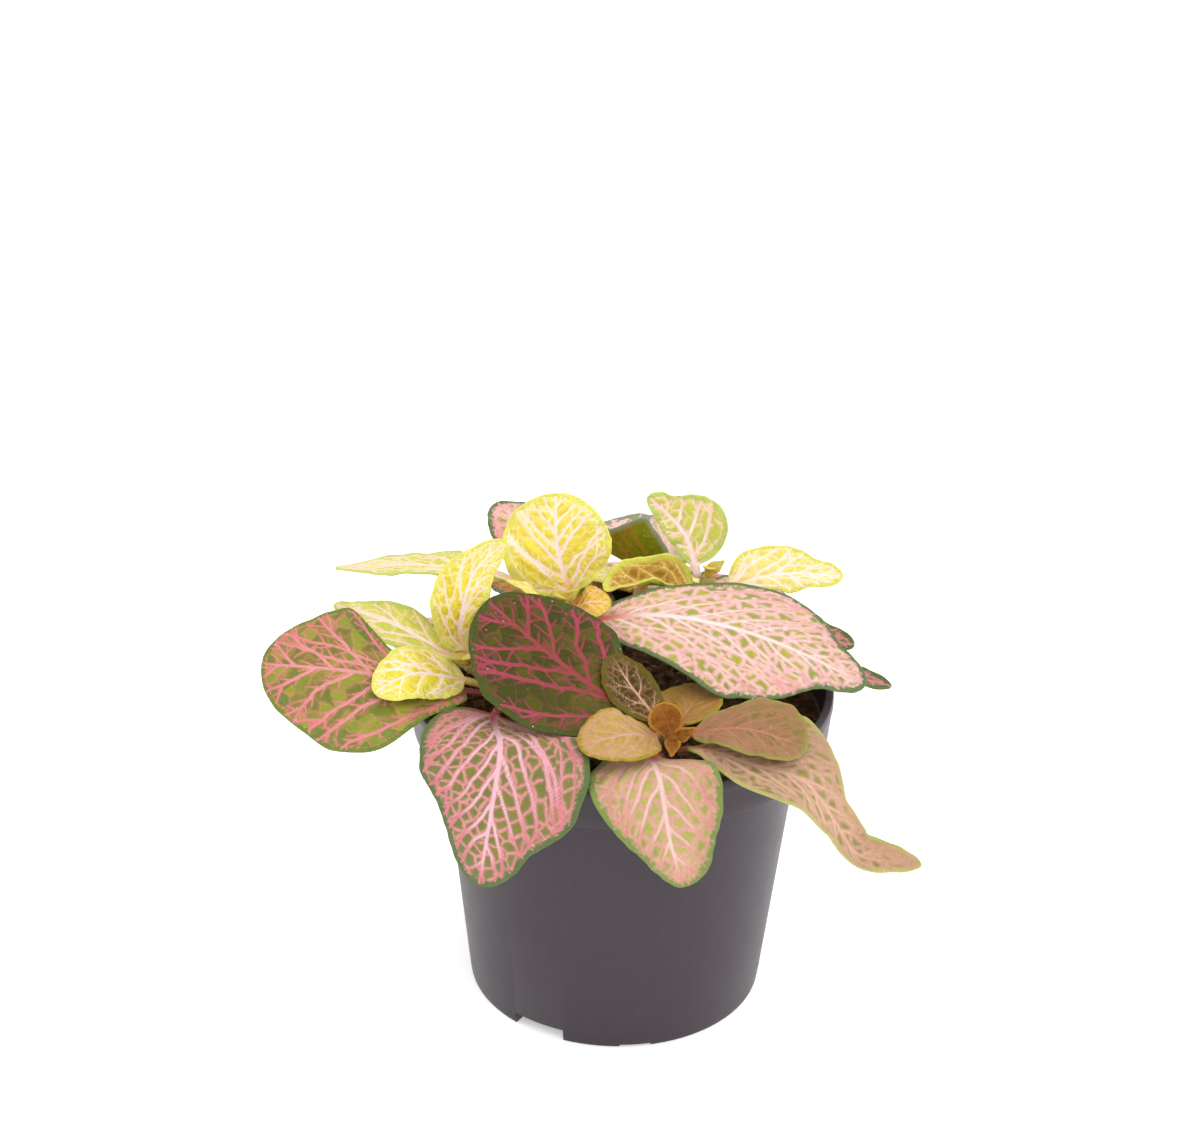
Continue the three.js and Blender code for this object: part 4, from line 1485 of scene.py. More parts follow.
def bar(turn: float, inner: float, outer: float, width: float, low: float, high: float) -> Piece:
    """A box that runs outward along the ground, turned about +Z by `turn` degrees.

    Args:
        turn: the way it runs, in degrees.
        inner, outer: how far from the axis it starts and ends.
        width: its width.
        low, high: the heights of its underside and its top.

    Returns:
        The box.
    """
    way = np.array([math.cos(turn * DEGREE), math.sin(turn * DEGREE)])
    at = way * (inner + outer) / 2 * MM
    middle = (at[0], at[1], (low + high) / 2 * MM)
    piece = basic("cube", size=1, location=middle, rotation=(0, 0, turn * DEGREE))
    piece.scale = ((outer - inner) * MM, width * MM, (high - low) * MM)
    bpy.ops.object.transform_apply(location=True, rotation=True, scale=True)
    return piece


def drill(turn: float, radius: float, height: float, hole: float) -> Piece:
    """An upright rod where a drain hole goes, `radius` out along `turn` degrees.

    Args:
        turn: the way to it, in degrees.
        radius: how far from the axis it stands.
        height: of its middle.
        hole: its radius.

    Returns:
        The rod.
    """
    at = (radius * math.cos(turn * DEGREE) * MM, radius * math.sin(turn * DEGREE) * MM, height * MM)
    rod = basic("cylinder", vertices=28, radius=hole * MM, depth=7 * MM, location=at)
    bpy.ops.object.transform_apply(location=True, rotation=False, scale=False)
    return rod


def boolean(piece: Piece, tool: Piece, operation: str) -> None:
    """Joins a tool to a piece or cuts it out, and removes the tool.

    Args:
        piece: what is changed.
        tool: the other piece, which is used up.
        operation: UNION or DIFFERENCE.
    """
    modifier = piece.modifiers.new("cut", "BOOLEAN")
    modifier.operation, modifier.object, modifier.solver = operation, tool, "EXACT"
    apply_modifiers(piece)
    bpy.data.objects.remove(tool)


@dataclass
class Soil:
    """The peat: a plug with a lumpy top, covered with crumbs and a few fibres."""

    pot: Pot
    edge: float = 85
    crown: float = 88
    grain: float = 0.8
    shore: float = 8
    sides: int = 180
    rings: int = 44
    crumbs: int = 1100
    crumb_seed: int = 5
    fibres: int = 110
    fibre_seed: int = 9
    fibre_radius: float = 0.17
    fibre_length: float = 6.0
    finish: Peat = Peat()

    SHARP_FROM = 50  # degrees from which an edge looks sharp
    RING_RISE = 0.01  # from ring to ring of the top before it is shaped, which tells its points from the side's
    CRUMB_SIZES = (0.25, 1.5)  # the least and the most of a crumb's radius before it is squeezed
    FIBRE_LIFT = 0.35  # how high a fibre's middle lies

    def radius(self) -> float:
        """How far the top reaches."""
        return self.pot.collar - self.pot.wall - GAP - 0.8

    def inner(self, z: float) -> float:
        """Radius of the plug's side at a height."""
        return self.pot.body_radius(z) - self.pot.wall - GAP

    def top(self, x: Array, y: Array) -> Array:
        """Height of the top over a place.

        Args:
            x, y: the places.

        Returns:
            The heights.
        """
        share = np.hypot(x, y) / self.radius()
        lumps = np.sin(x * 0.71 + 1.3) * np.cos(y * 0.83) + 0.6 * np.sin(x * 1.7 - y * 1.3)
        fine = 0.35 * np.sin(x * 2.9 + 0.4) * np.cos(y * 3.3 + 1.0) + 0.25 * np.sin(x * 5.1 - y * 4.3)
        inland = np.clip((self.radius() - np.hypot(x, y)) / self.shore, 0, 1)
        dome = self.edge + (self.crown - self.edge) * np.cos(np.clip(share, 0, 1) * np.pi / 2)
        return dome + self.grain * (lumps + fine) * inland

    def build(self) -> Piece:
        """Models the soil and dresses it.

        Returns:
            The peat.
        """
        pot = self.pot
        step = pot.height - pot.collar_height
        low = pot.floor + GAP
        profile = [(self.inner(low) - 0.6, low), (self.inner(low) - 0.2, low + 0.6),
                   (self.inner(step - 5) - 0.3, step - 5), (self.inner(step) - 1.2, step - 0.2),
                   (self.radius() - 0.6, step + 1.7)]
        for i in range(self.rings, 0, -1):
            profile.append((self.radius() * i / self.rings, self.edge + self.RING_RISE * (self.rings - i)))
        piece = turned("peat", profile, self.sides)
        edge = pot.wall + GAP
        bars = [bar(pot.channel_turn + turn, pot.channel_inner - edge, pot.foot + pot.PAST,
                    pot.channel_width + 2 * edge, 0, pot.channel_height + pot.floor + GAP) for turn in THIRDS]
        boolean(piece, join(bars, "tunnels"), "DIFFERENCE")
        points = points_of(piece)
        top = points[:, 2] > self.edge - self.RING_RISE / 2
        points[top, 2] = self.top(points[top, 0], points[top, 1])
        set_points(piece, points)
        piece = join([piece, self._crumbs(), self._fibres()][::-1], "peat")
        return dress(piece, self.finish.material(), self.SHARP_FROM)

    def _spots(self, rng: np.random.Generator, count: int) -> Array:
        """Random places on the top.

        Args:
            rng: what the places are drawn from.
            count: how many.

        Returns:
            Places, points by three.
        """
        r = self.radius() * 0.985 * np.sqrt(rng.uniform(0, 1, count))
        way = rng.uniform(0, TURN, count)
        x, y = r * np.cos(way), r * np.sin(way)
        return np.stack([x, y, self.top(x, y)], axis=1)

    def _crumbs(self) -> Piece:
        """Lumps of peat, one model copied.

        Returns:
            All the crumbs.
        """
        rng = np.random.default_rng(self.crumb_seed)
        crumb = basic("ico_sphere", subdivisions=2, radius=1 * MM)
        shape = points_of(crumb)
        set_points(crumb, shape * (1 + 0.22 * np.sin(shape @ [[3.1], [2.3], [4.2]] * 2) +
                                   rng.uniform(-0.12, 0.12, (len(shape), 1))))
        spots = self._spots(rng, self.crumbs)
        least, most = self.CRUMB_SIZES
        size = rng.gamma(3.0, 0.16, self.crumbs)[:, None] + least
        size = np.minimum(size, most) * rng.uniform(0.6, 1.2, (self.crumbs, 3))
        ways = unit(rng.normal(0, 1, (self.crumbs, 3)))
        return scatter(crumb, "crumbs", frames_along(ways, rng.uniform(0, SPIN, self.crumbs), size), spots)

    def _fibres(self) -> Piece:
        """Short fibres and bits of root, one model copied.

        Returns:
            All the fibres.
        """
        rng = np.random.default_rng(self.fibre_seed)
        fibre = basic("cylinder", vertices=5, radius=self.fibre_radius * MM, depth=self.fibre_length * MM)
        edit(fibre, ("subdivide", {"number_cuts": 3, "quadcorner": "INNERVERT"}))
        shape = points_of(fibre)
        shape[:, 0] += 0.08 * shape[:, 2] ** 2
        shape[:, 1] += 0.25 * np.sin(shape[:, 2])
        set_points(fibre, shape)
        spots = self._spots(rng, self.fibres) + [0, 0, self.FIBRE_LIFT]
        ways = unit(rng.normal(0, 1, (self.fibres, 3)) * [1, 1, 0.25])
        size = rng.uniform(0.5, 1.3, (self.fibres, 1)) * np.array([[1, 1, 1]])
        return scatter(fibre, "fibres", frames_along(ways, rng.uniform(0, SPIN, self.fibres), size), spots)


# ---- stems, hairs and growing tips

@dataclass
class Stem:
    """A shoot's stem, swollen where leaves leave it."""

    shoot: Shoot
    nodes: Sequence[float]
    finish: StemSkin = StemSkin("stem_skin", (104, 78, 58), (176, 160, 84), (196, 128, 96))

    BELOW, ABOVE = 8, 40  # rings in the peat and above it
    SWELL, SWELL_LONG = 0.14, 0.07  # how much thicker a stem is at a leaf, and for which share of its length
    SHARP_FROM = 60  # degrees from which an edge looks sharp

    def build(self) -> Piece:
        """Models the stem along its path and dresses it.

        Returns:
            The stem.
        """
        low = np.array([[*self.shoot.foot, z] for z in np.linspace(STEM_LOW, SOIL_TOP, self.BELOW, endpoint=False)])
        above = np.linspace(0, 1, self.ABOVE)
        path = np.vstack([low, self.shoot.at(above)[0]])
        share = np.concatenate([np.full(len(low), -1.0), above])
        swell = sum(self.SWELL * np.exp(-(((share - node) / self.SWELL_LONG) ** 2)) for node in self.nodes)
        swell = np.minimum(1 + swell + 0.03 * np.sin(share * 40), 1 + self.SWELL)
        swell = swell * lerp(1.0, 0.9, np.clip(share, 0, 1))
        deselect()
        bpy.ops.curve.primitive_bezier_curve_add()
        rod = bpy.context.object
        curve = rod.data
        curve.splines.clear()
        line = curve.splines.new("POLY")
        line.points.add(len(path) - 1)
        line.points.foreach_set("co", np.hstack([path * MM, np.ones((len(path), 1))]).reshape(-1))
        line.points.foreach_set("radius", swell)
        curve.dimensions = "3D"
        curve.bevel_depth, curve.bevel_resolution, curve.use_fill_caps = STEM_RADIUS * MM, 5, True
        rod.name = f"stem_{self.shoot.name}_skin"
        pick(rod)
        bpy.ops.object.convert(target="MESH")
        rod = bpy.context.object
        edit(rod, ("remove_doubles", {"threshold": WELD}), ("normals_make_consistent", {"inside": False}))
        return dress(rod, self.finish.material(), self.SHARP_FROM)


@dataclass
class Hairs:
    """The fine hairs of one shoot, on its stem and its petioles."""

    name: str
    radius: float = 0.05
    length: Tuple[float, float] = (0.5, 1.15)
    finish: StemSkin = StemSkin("downy_hair", (196, 170, 140), (240, 226, 196), (232, 190, 160))

    def build(self, spots: Array, ways: Array, rng: np.random.Generator) -> Piece:
        """Stands a thin cone at each spot and dresses them.

        Args:
            spots: where the hairs grow, in millimetres.
            ways: the unit directions they grow in.
            rng: the source of their differences.

        Returns:
            One piece with all the hairs.
        """
        hair = basic("cone", vertices=3, radius1=self.radius * MM, radius2=0, depth=1 * MM)
        set_points(hair, points_of(hair) + [0, 0, 0.4])
        count = len(spots)
        size = np.stack([np.ones(count), np.ones(count), rng.uniform(*self.length, count)], axis=1)
        ways = unit(ways + rng.normal(0, 0.25, ways.shape))
        piece = scatter(hair, self.name, frames_along(ways, rng.uniform(0, SPIN, count), size), spots)
        piece.data.materials.append(self.finish.material())
        return piece


@dataclass
class Heart:
    """A growing tip: a bud with its youngest leaves.

    young: each young leaf's tip, from the bud, and its greatest reach.
    """

    shoot: Shoot
    young: Sequence[Tuple[Point, float]]
    finish: LeafFinish = HEART

    OPENING, SHUT = (0.55, 0.85, 1, 0.85), (0.9, 1, 0.7, 0.35)  # outlines, as shares of the reach
    OPENS_AT = 4.0  # the reach from which a young leaf has the first outline
    SEED = 71

    def build(self) -> Piece:
        """Models the bud and its leaves, joined.

        Returns:
            The growing tip.
        """
        point, way = self.shoot.at(np.array([1.0]))
        top = point[0] + way[0] * (BUD_RADIUS + GAP)
        pieces = []
        for number, (tip, reach) in enumerate(self.young):
            out = np.array(tip, float)
            face = (0, -1, 0.3) if out[2] > abs(out[1]) else (0, -0.3, 1)
            reaches = [share * reach for share in (self.OPENING if reach > self.OPENS_AT else self.SHUT)]
            leaf = Leaf(
                f"young_{number}", top, [tuple(top + 0.55 * out), tuple(top + out)], [face], reaches, reaches,
                self.finish, YOUNG, Growth.BUDDING, stalk=0.03, curl=[40], wave=0.1, thickness=0.5, inset=0.3,
                seed=self.SEED + number, relief=0.3)
            pieces.append(leaf.build())
        bud = self._bud(top, way, pieces[0].data.materials[0])
        piece = join([bud, *pieces][::-1], f"growing_tip_{self.shoot.name}")
        bpy.ops.object.shade_smooth()
        return piece

    def _bud(self, top: Array, way: Array, material: bpy.types.Material) -> Piece:
        """The bud between the young leaves, which carries the same numbers as they do.

        Args:
            top: the bud's middle.
            way: the direction that it points in, in one row.
            material: what the young leaves are made of.

        Returns:
            The bud.
        """
        bud = basic("uv_sphere", segments=20, ring_count=12, radius=1 * MM, calc_uvs=False)
        shape = points_of(bud)
        taper = 0.9 - 0.7 * np.clip(shape[:, 2:], 0, 1) ** 1.6
        folds = 1 + 0.1 * np.cos(2 * np.arctan2(shape[:, 1:2], shape[:, :1]))
        shape = shape * np.hstack([taper * folds, taper * folds, 1.25 * np.ones_like(taper)]) * BUD_RADIUS
        set_points(bud, np.einsum("ij,vj->vi", frames_along(way, np.zeros(1), np.ones((1, 3)))[0], shape) + top)
        bud.data.materials.append(material)
        for name in FIELDS:
            carry(bud, name, np.full(len(bud.data.vertices), -0.1 if name == "along" else 1.0))
        bud.data.uv_layers.new(name="OFBake").data.foreach_set("uv", np.tile([0.995, 0.995], len(bud.data.loops)))
        return bud


# ---- the plant's tables

SHOOTS = {
    "left": Shoot("left", (-33, -4), (-43, -5, 103)),
    "middle": Shoot("middle", (-12, 12), (-16, 10, 114)),
    "right": Shoot("right", (21, 18), (24, 24, 117)),
    "front": Shoot("front", (12, -26), (14, -38, 100)),
    "back": Shoot("back", (3, 36), (5, 42, 103)),
}

# Each growing tip: its young leaves, with the place of each one's tip and its greatest reach.
HEARTS = {
    "left": [((-4, -5, 3), 1.8), ((3.5, -4, 3), 1.8)],
    "middle": [((-3, -5, 4), 1.8), ((4, -3, 5), 1.8)],
    "right": [((4, -2, 4), 2.0), ((-1, -6, 3.5), 2.0)],
    "front": [((-4.0, 0.5, 10.5), 5.2), ((6, -1, 4), 2.3), ((-0.5, -6.5, -2), 2.4)],
    "back": [((-3, 3, 6), 2.0), ((4, 2, 6), 2.0)],
}

UP = (0, 0, 1)
SMALL = Growth.SMALL
CLEAR = Growth.CLEAR

# Each leaf: its shoot, how far up the stem it grows, its midrib, face and reaches, and what else it has.
LEAVES = {
    "left_large": ("left", 0.5, [(-50, -13, 99.5), (-75, -16, 105.5), (-100, -14, 106)],
        [(0, 0.1, 1), (0, -0.15, 1), (-0.05, -0.6, 0.8), (-0.05, -0.7, 0.7)], [14, 25, 24, 17], [5, 11, 19.5, 14],
        DARK, dict(growth=CLEAR, stalk=0.13, lobe=(2, 0), curl=[-4], veins=replace(OPEN, pairs=5.5, border=1.2))),
    "left_lime": ("left", 0.92, [(-64, 3, 110), (-82, 9, 113)], [(0, -0.35, 0.94)], oval_leaf(7.5), oval_leaf(7.5),
        LIME, dict(growth=SMALL, curl=[10], veins=SPARSE)),
    "left_gold": ("left", 0.75, [(-50, -13.5, 103.5), (-58, -18.5, 106.5), (-68, -24, 103.5)], [(0, -0.5, 0.87)],
        round_leaf(9), round_leaf(9), GOLD,
        dict(growth=SMALL, curl=[8], stalk=0.16,
            veins=replace(GOLDEN, pairs=4.5, border=1.4, midrib=0.55, rib=0.36))),
    "left_upright": ("left", 0.9, [(-45.5, -0.5, 108), (-45, -2, 118), (-41.5, 0, 129.5), (-33, 2, 138)],
        [(0, -0.95, 0.3)], [7, 9.5, 8.5, 5], [4.5, 6.5, 6.5, 4.5], GOLD,
        dict(growth=SMALL, curl=[12], veins=replace(GOLDEN, pairs=5, angle=28, midrib=0.55, rib=0.34, border=1.3))),
    "left_back": ("left", 0.35, [(-43, 12, 99), (-51, 25, 99.5), (-57, 38, 94)], [(0, -0.1, 1)], oval_leaf(12),
        oval_leaf(12), ROSE, dict(curl=[-8], veins=BROAD)),
    "front_left": ("left", 0.2, [(-35, -27, 97.5), (-32, -47, 100.5), (-33, -58, 93), (-37, -60, 65)],
        [(0.34, -0.02, 1), (0.2, -0.2, 1), (-0.3, -0.7, 0.6), (-0.3, -0.95, 0.1)], [18, 24, 24, 12], [19, 22, 21, 12],
        NETTED, dict(stalk=0.2, lobe=(0, 4), curl=[4, -8], veins=LACED)),
    "middle_long": ("middle", 0.8, [(-35, 15, 120.5), (-58, 20, 120.5), (-83, 24, 117)], [(0, 0.15, 1)],
        [6, 13, 13, 8], [4, 10, 9, 5], LIME,
        dict(stalk=0.22, curl=[14],
            veins=replace(BROAD, pairs=5, angle=22, rows=1, midrib=0.7, rib=0.45, net=0.3, border=1.4))),
    "middle_round": ("middle", 1, [(-19, 12, 131), (-20, 16, 146.5)], [(0, -0.95, 0.3), (0, -0.85, 0.5)],
        round_leaf(15.5), round_leaf(15.5), replace(GOLD, areole=(236, 218, 84), areole_alt=(230, 208, 66)),
        dict(growth=CLEAR, stalk=0.06, curl=[10], veins=replace(GOLDEN, pairs=6.5, angle=40, rib=0.42))),
    "middle_dark": ("middle", 0.5, [(-27, 28.5, 125.5), (-37.5, 39, 132)], [(0.2, -0.35, 0.9)], round_leaf(11.5),
        round_leaf(11.5), ROSE, dict(stalk=0.2, veins=BROAD)),
    "middle_large": ("middle", 0.8, [(10, 4, 115), (33, 0, 113), (52, -5, 108), (68, -10, 102)], [(0, -0.35, 0.94)],
        [8, 12.5, 15.5, 18, 19, 16.5, 8], [10, 15, 20, 23.5, 22, 18, 8], ROSE,
        dict(stalk=0.05, curl=[-8], veins=PATCHED)),
    "middle_young_left": ("middle", 0.97, [(-25, 4, 121), (-33, 3, 125.5)], [UP], oval_leaf(4), oval_leaf(4), GOLD,
        dict(growth=SMALL, veins=FINE)),
    "middle_young_right": ("middle", 0.97, [(-10, 6, 117.5), (-3.5, 7, 117)], [(0, -0.5, 0.87)], oval_leaf(6),
        oval_leaf(6), AMBER, dict(growth=SMALL, stalk=0.05, veins=FINE)),
    "middle_back": ("middle", 0.3, [(-20, 28, 107), (-30, 40, 106), (-41, 50, 101)], [(0, 0.1, 1)], oval_leaf(12),
        oval_leaf(12), SHADE, dict(curl=[-8], veins=OPEN)),
    "right_upright": ("right", 1, [(17, 25, 130), (6, 22, 143.5)], [(0.1, -0.95, 0.3)], [4, 5, 4.5, 3],
        [11, 13, 10, 5], APPLE,
        dict(growth=CLEAR, curl=[10],
            veins=replace(SPARSE, pairs=5, angle=60, cell=4.5, midrib=0.75, rib=0.46, border=1.6))),
    "right_gold": ("right", 0.9, [(44, 22.5, 119.5), (62, 17, 122)], [(0, -0.45, 0.9)], [10, 10, 8, 5],
        [4.5, 6, 7, 5], LEMON,
        dict(growth=CLEAR, curl=[8], veins=replace(GOLDEN, angle=32, border=1.3, midrib=0.6, rib=0.38))),
    "right_curled": ("right", 0.85, [(8, 22, 116), (-6, 16, 116.5)], [(0, -0.35, 0.93)], [6, 7, 7, 5],
        [9, 8.5, 8, 6.5], ROLLED, dict(fold=25, curl=[60], stalk=0.04, veins=replace(FINE, border=1.9, rib=0.3))),
    "right_folded": ("right", 0.6, [(12, 33, 110.5), (1, 38.5, 114), (-13, 43, 119.5)], [(0, 0.3, 1)],
        [16, 20, 17, 9], [14, 18, 16, 10], FOLDED, dict(fold=50, curl=[15], stalk=0.3, lobe=(3, 3), veins=OPEN)),
    "right_dark": ("right", 0.4, [(42, 20, 103.5), (66, 11, 103)], [(0.1, -0.3, 0.94)], oval_leaf(9.5), oval_leaf(7),
        NETTED, dict(veins=OPEN)),
    "right_rose": ("right", 0.2, [(44, 7, 97), (60, 1, 99.5), (76, -3, 98)], [(0, -0.2, 1)], oval_leaf(7),
        oval_leaf(7), NETTED, dict(curl=[0, 60], veins=OPEN)),
    "right_back": ("right", 0.5, [(31, 35, 105.5), (40, 43, 104.5), (47, 51, 99)], [(0.1, 0, 1)], oval_leaf(10),
        oval_leaf(10), ROSE, dict(curl=[-8], veins=BROAD)),
    "front_dark": ("front", 0.5, [(0, -27, 102.5), (-20, -17, 113), (-38, -6, 123.5)],
        [(0.05, -0.1, 1), (0.2, -0.5, 0.84)], [19, 25, 25, 18.5], [12, 20, 20, 14], DEEP,
        dict(growth=CLEAR, veins=replace(OPEN, pairs=5, angle=38, midrib=1.05, rib=0.62, border=2.1))),
    "front_middle": ("front", 0.15, [(9, -45, 97), (11, -60, 98.6), (14, -65, 84), (18, -64, 69)],
        [(0.05, -0.1, 1), (0, -0.7, 0.7), (0, -1, 0)], [13, 16, 15, 11], [16, 19, 15, 7.5], PALE,
        dict(stalk=0.18, lobe=(0, 3), veins=replace(BROAD, angle=30, bow=0.012, rib=0.45, soft=0.5))),
    "front_peach": ("front", 0.9, [(1, -46, 105), (-11, -51.5, 104.5)], [(0, -0.45, 0.88)], round_leaf(9),
        round_leaf(9), PEACH, dict(growth=SMALL, stalk=0.06, curl=[10], veins=SOFT)),
    "front_dim": ("front", 0.95, [(2, -22, 107.5), (-3, -14, 112)], [(0.1, -0.6, 0.8)], round_leaf(7.5),
        round_leaf(6.5), DUSK,
        dict(growth=SMALL, curl=[8],
            veins=replace(OPEN, pairs=4, cell=2.6, midrib=0.45, rib=0.3, border=1.6, twigs=2))),
    "front_olive": ("front", 0.85, [(19, -24, 101.5), (24, -8, 99.5)], [(-0.1, -0.3, 0.95)], oval_leaf(11),
        oval_leaf(8), STRAW, dict(growth=SMALL, stalk=0.06, curl=[8], veins=SOFT)),
    "front_tan": ("front", 0.86, [(33, -42.5, 106), (50, -46.5, 103)], [(0, -0.3, 0.95)], [8, 10, 12, 12],
        [5, 8, 9, 8.5], TAN, dict(curl=[6], veins=replace(SOFT, pairs=5, cell=5, faint=0.2))),
    "front_long": ("front", 0.35,
        [(23, -42, 98.7), (35, -50, 99.3), (49, -54, 97), (57.5, -57, 87), (64, -59, 78), (72, -58, 75),
            (82, -56, 73)],
        [(0, -0.1, 1), (0.2, -0.1, 1), (0.5, -0.3, 0.8), (0, -0.6, 0.8)],
        [8, 14, 21, 23, 14, 9, 8, 7, 5], [3, 7, 12, 15, 12, 9, 7, 5, 3], BLUSH,
        dict(curl=[0, 5, 15, 70, 85], veins=replace(BROAD, pairs=9, net=0.5, border=0.9, soft=0.5))),
    "back_gold_left": ("back", 0.97, [(-5, 45, 106), (-14, 47, 105)], [(0, 0.2, 1)], oval_leaf(6), oval_leaf(6), GOLD,
        dict(growth=SMALL, veins=FINE)),
    "back_gold_right": ("back", 0.97, [(14, 46, 105), (23, 49, 103)], [(0, 0.2, 1)], oval_leaf(6), oval_leaf(6), GOLD,
        dict(growth=SMALL, veins=FINE)),
    "back_large": ("back", 0.6, [(5, 56, 101), (4, 70, 97), (3, 77, 80)], [(0, 0.1, 1), (0, 0.8, 0.6)],
        [15, 18, 15, 9], [15, 18, 15, 9], ROSE, dict(lobe=(2, 2), stalk=0.16, curl=[-6], veins=BROAD)),
    "back_low_left": ("back", 0.35, [(-10, 48, 97.5), (-21, 58, 99), (-31, 68, 88)], [(0, 0.1, 1), (-0.3, 0.5, 0.8)],
        oval_leaf(11), oval_leaf(11), NETTED, dict(curl=[-4], veins=BROAD)),
    "back_low_right": ("back", 0.35, [(22, 48, 98.5), (33, 57, 99.5), (43, 67, 88)], [(0, 0.1, 1), (0.3, 0.4, 0.8)],
        [8, 10, 10, 7], oval_leaf(11), DARK, dict(curl=[-4], stalk=0.16, veins=OPEN)),
}


@dataclass
class Plant:
    """All that grows: stems, growing tips, leaves and hairs."""

    stem_hairs: int = 420
    petiole_hairs: Tuple[float, float] = (12, 7)  # on each petiole, and more for each of its millimetres
    first_seed: int = 11

    def __post_init__(self) -> None:
        """Reads the table of leaves, and roots each leaf on its stem."""
        self.leaves = []
        for seed, (name, row) in enumerate(LEAVES.items()):
            shoot, share, midrib, *form, more = row
            root = self._root_of(SHOOTS[shoot], share, midrib[0])
            leaf = Leaf(f"blade_{name}", root, midrib, *form, seed=seed + self.first_seed, **more)
            self.leaves.append((name, shoot, share, leaf))

    @staticmethod
    def _root_of(shoot: Shoot, share: float, toward: Point) -> Array:
        """Where a petiole leaves its stem.

        Args:
            shoot: the stem.
            share: how far up it.
            toward: the next point of the leaf's midrib.

        Returns:
            The petiole's root.
        """
        point, way = shoot.at(np.array([share]))
        out = unit(np.array(toward, float) - point[0])
        climb = abs(float(out @ way[0]))
        out = unit(out - way[0] * (out @ way[0]))
        return point[0] + out * (STEM_RADIUS + GAP + PETIOLE_HALF * climb)

    def build(self) -> None:
        """Builds every piece and sets it on the frame."""
        for name, shoot in SHOOTS.items():
            nodes = [share for _, of, share, _ in self.leaves if of == name]
            place(Stem(shoot, nodes).build(), "stem", f"stem_{name}")
        for name, young in HEARTS.items():
            # the front tip's darker finish is partly painted shade from the leaves round it
            finish = HEART if name == "front" else TIP
            place(Heart(SHOOTS[name], young, finish).build(), "heart", f"heart_{name}")
        for name, _, _, leaf in self.leaves:
            place(leaf.build(), leaf.finish.slot, f"leaf_{name}")
        for shoot in SHOOTS.values():
            place(self._hairs(shoot), "stem", None)

    def _hairs(self, shoot: Shoot) -> Piece:
        """The hairs of one shoot.

        Args:
            shoot: the shoot.

        Returns:
            All its hairs.
        """
        rng = np.random.default_rng(len(shoot.name) * 7 + 1)
        base, more = self.petiole_hairs
        at, way = shoot.at(rng.uniform(0, 1, self.stem_hairs))
        out = self._outward(way, rng)
        spots, outs = [at + out * STEM_RADIUS], [unit(out + way * 0.5)]
        for _, of, _, leaf in self.leaves:
            if of == shoot.name:
                spine = Curve(np.vstack([leaf.root, np.asarray(leaf.midrib, float)]))
                count = int(base + leaf.stalk * spine.length * more)
                at, way = spine.at(rng.uniform(0, leaf.stalk + 0.03, count))
                out = self._outward(way, rng)
                spots.append(at + out * PETIOLE_SKIN)
                outs.append(unit(out + way * 0.4))
        return Hairs(f"down_{shoot.name}").build(np.vstack(spots), np.vstack(outs), rng)

    @staticmethod
    def _outward(ways: Array, rng: np.random.Generator) -> Array:
        """Random directions square to the given ones."""
        return unit(np.cross(ways, unit(rng.normal(0, 1, ways.shape))))


def place(piece: Piece, slot: str, node: Optional[str]) -> None:
    """Sets a finished piece on the frame.

    Args:
        piece: the piece.
        slot: the material slot of its finish; it is not used.
        node: the solid that it stands for, if it does.
    """
    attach(piece, BODY)
    if node:
        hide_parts(node)
    LOG.info("%s: %d faces", piece.name, len(piece.data.polygons))


# ---- the studio

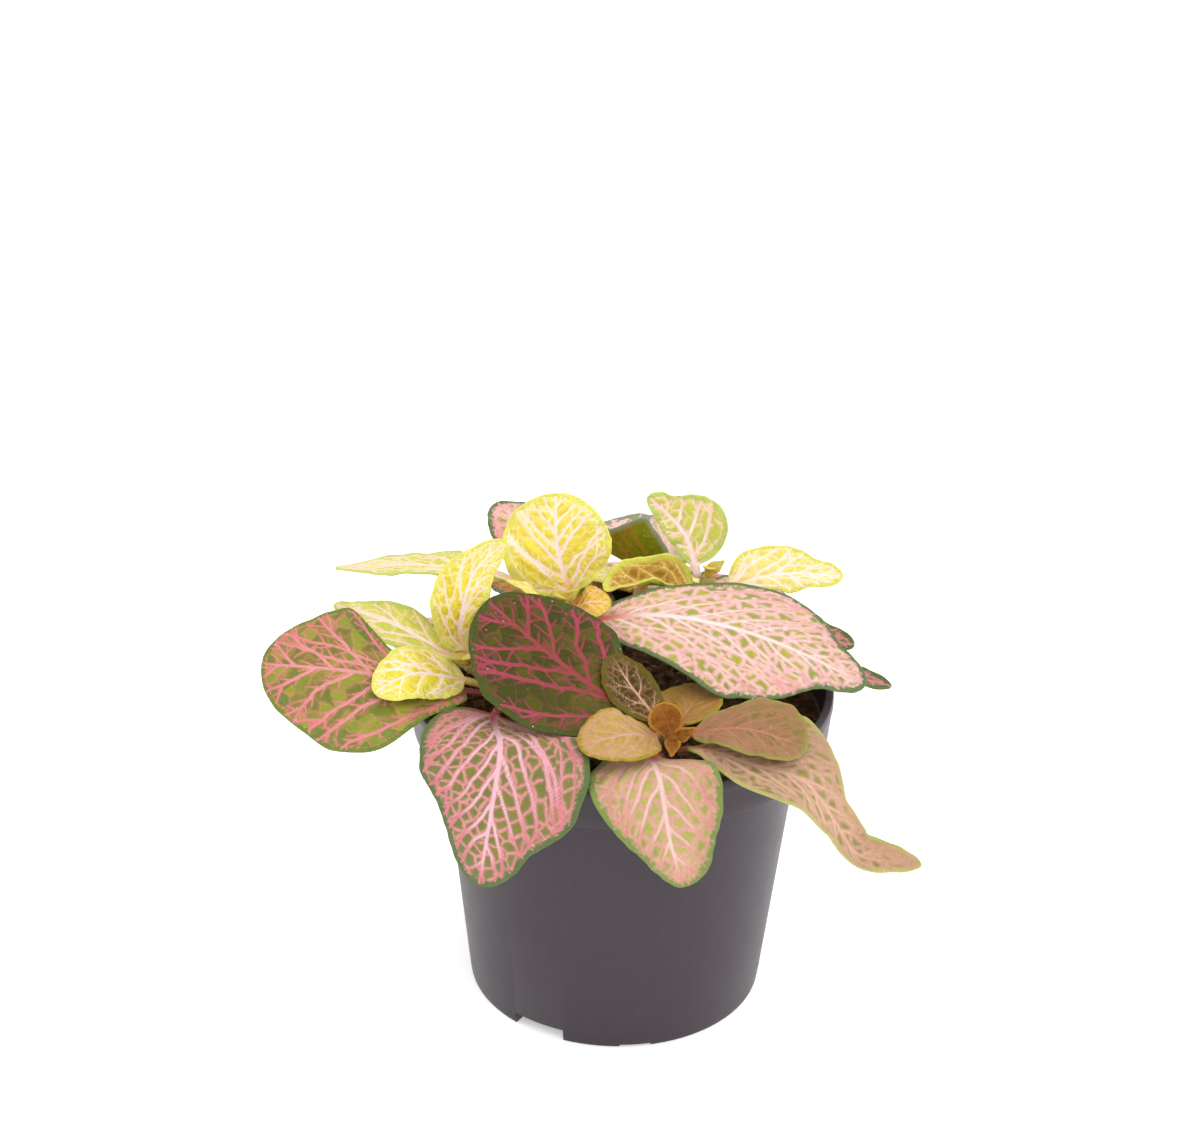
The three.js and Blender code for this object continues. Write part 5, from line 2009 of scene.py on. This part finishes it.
@dataclass
class Studio:
    """Camera, lights, floor and surroundings. Metres and degrees."""

    distance: float = 0.85
    elevation: float = 32.033
    pitch: float = 27.208
    yaw: float = -0.544
    roll: float = -1.282
    focal: float = 87.636
    floor_size: float = 12.0

    def build(self) -> None:
        """Sets up the whole studio."""
        self._camera()
        self._floor()
        self._surroundings()
        self._light("top", (0.1, 0.25, 1.3), (0, 0, 0.05), 1.6, 3.5)
        self._light("left", (-1.1, 0.35, 0.5), (0, 0, 0.08), 0.9, 5.5)
        self._light("right", (1.1, 0.35, 0.5), (0, 0, 0.08), 0.9, 5.5)
        self._light("front", (0.25, -1.1, 1.15), (0, 0, 0.1), 1.2, 11)
        bpy.context.scene.view_settings.view_transform = "Standard"

    def _camera(self) -> None:
        """The camera at the photograph's viewing angle."""
        e, pitch, yaw, roll = (a * DEGREE for a in (self.elevation, self.pitch, self.yaw, self.roll))
        spot = Vector((0, -math.cos(e), math.sin(e))) * self.distance + Vector((0, 0, 0.05))
        ahead = Vector((math.sin(yaw) * math.cos(pitch), math.cos(yaw) * math.cos(pitch), -math.sin(pitch)))
        right = ahead.cross(Vector(UP)).normalized()
        up = right.cross(ahead)
        x = right * math.cos(roll) - up * math.sin(roll)
        y = right * math.sin(roll) + up * math.cos(roll)
        lens = bpy.data.cameras.new("camera")
        lens.lens, lens.sensor_width, lens.sensor_fit = self.focal, 36, "HORIZONTAL"
        lens.clip_start, lens.clip_end = 0.01, 50
        camera = link("camera", lens)
        camera.matrix_world = Matrix.Translation(spot) @ Matrix((x, y, -ahead)).transposed().to_4x4()
        bpy.context.scene.camera = camera

    def _floor(self) -> None:
        """A large pale floor."""
        floor = basic("plane", size=self.floor_size, location=(0, 0, 0))
        edit(floor, ("subdivide", {"number_cuts": 3}))
        floor.name = "studio_floor"
        floor.data.materials.append(Paint().material())

    def _surroundings(self) -> None:
        """White all round, a little greyer in front."""
        world = bpy.data.worlds.new("studio")
        world.use_nodes = True
        tree = world.node_tree
        sky = tree.nodes["Background"]
        way = tree.nodes.new("ShaderNodeTexCoord")
        split = tree.nodes.new("ShaderNodeSeparateXYZ")
        share = tree.nodes.new("ShaderNodeMapRange")
        share.interpolation_type = "SMOOTHSTEP"
        for name, value in {"From Min": -1.0, "From Max": 0.3, "To Min": 0.9, "To Max": 1.0}.items():
            share.inputs[name].default_value = value
        tree.links.new(way.outputs["Generated"], split.inputs[0])
        tree.links.new(split.outputs[1], share.inputs["Value"])
        tree.links.new(share.outputs[0], sky.inputs["Color"])
        sky.inputs["Strength"].default_value = 0.75
        bpy.context.scene.world = world

    def _light(self, name: str, spot: Point, target: Point, size: float, power: float) -> None:
        """A square soft light.

        Args:
            name: what it is called.
            spot: where it stands.
            target: what it points at.
            size: its side.
            power: its power in watts.
        """
        lamp = bpy.data.lights.new(name, "AREA")
        lamp.shape, lamp.size, lamp.energy = "SQUARE", size, power
        made = link(name, lamp)
        made.location = spot
        made.rotation_euler = (Vector(target) - Vector(spot)).to_track_quat("-Z", "Y").to_euler()


def main() -> None:
    """Builds the plant, its pot and the studio, and reports each piece."""
    logging.basicConfig(level=logging.INFO, format="%(name)s %(message)s")
    deselect()
    Studio().build()
    pot = Pot()
    place(pot.build(), "pot", "pot")
    place(Soil(pot).build(), "soil", "soil")
    Plant().build()


if __name__ == "__main__":
    main()
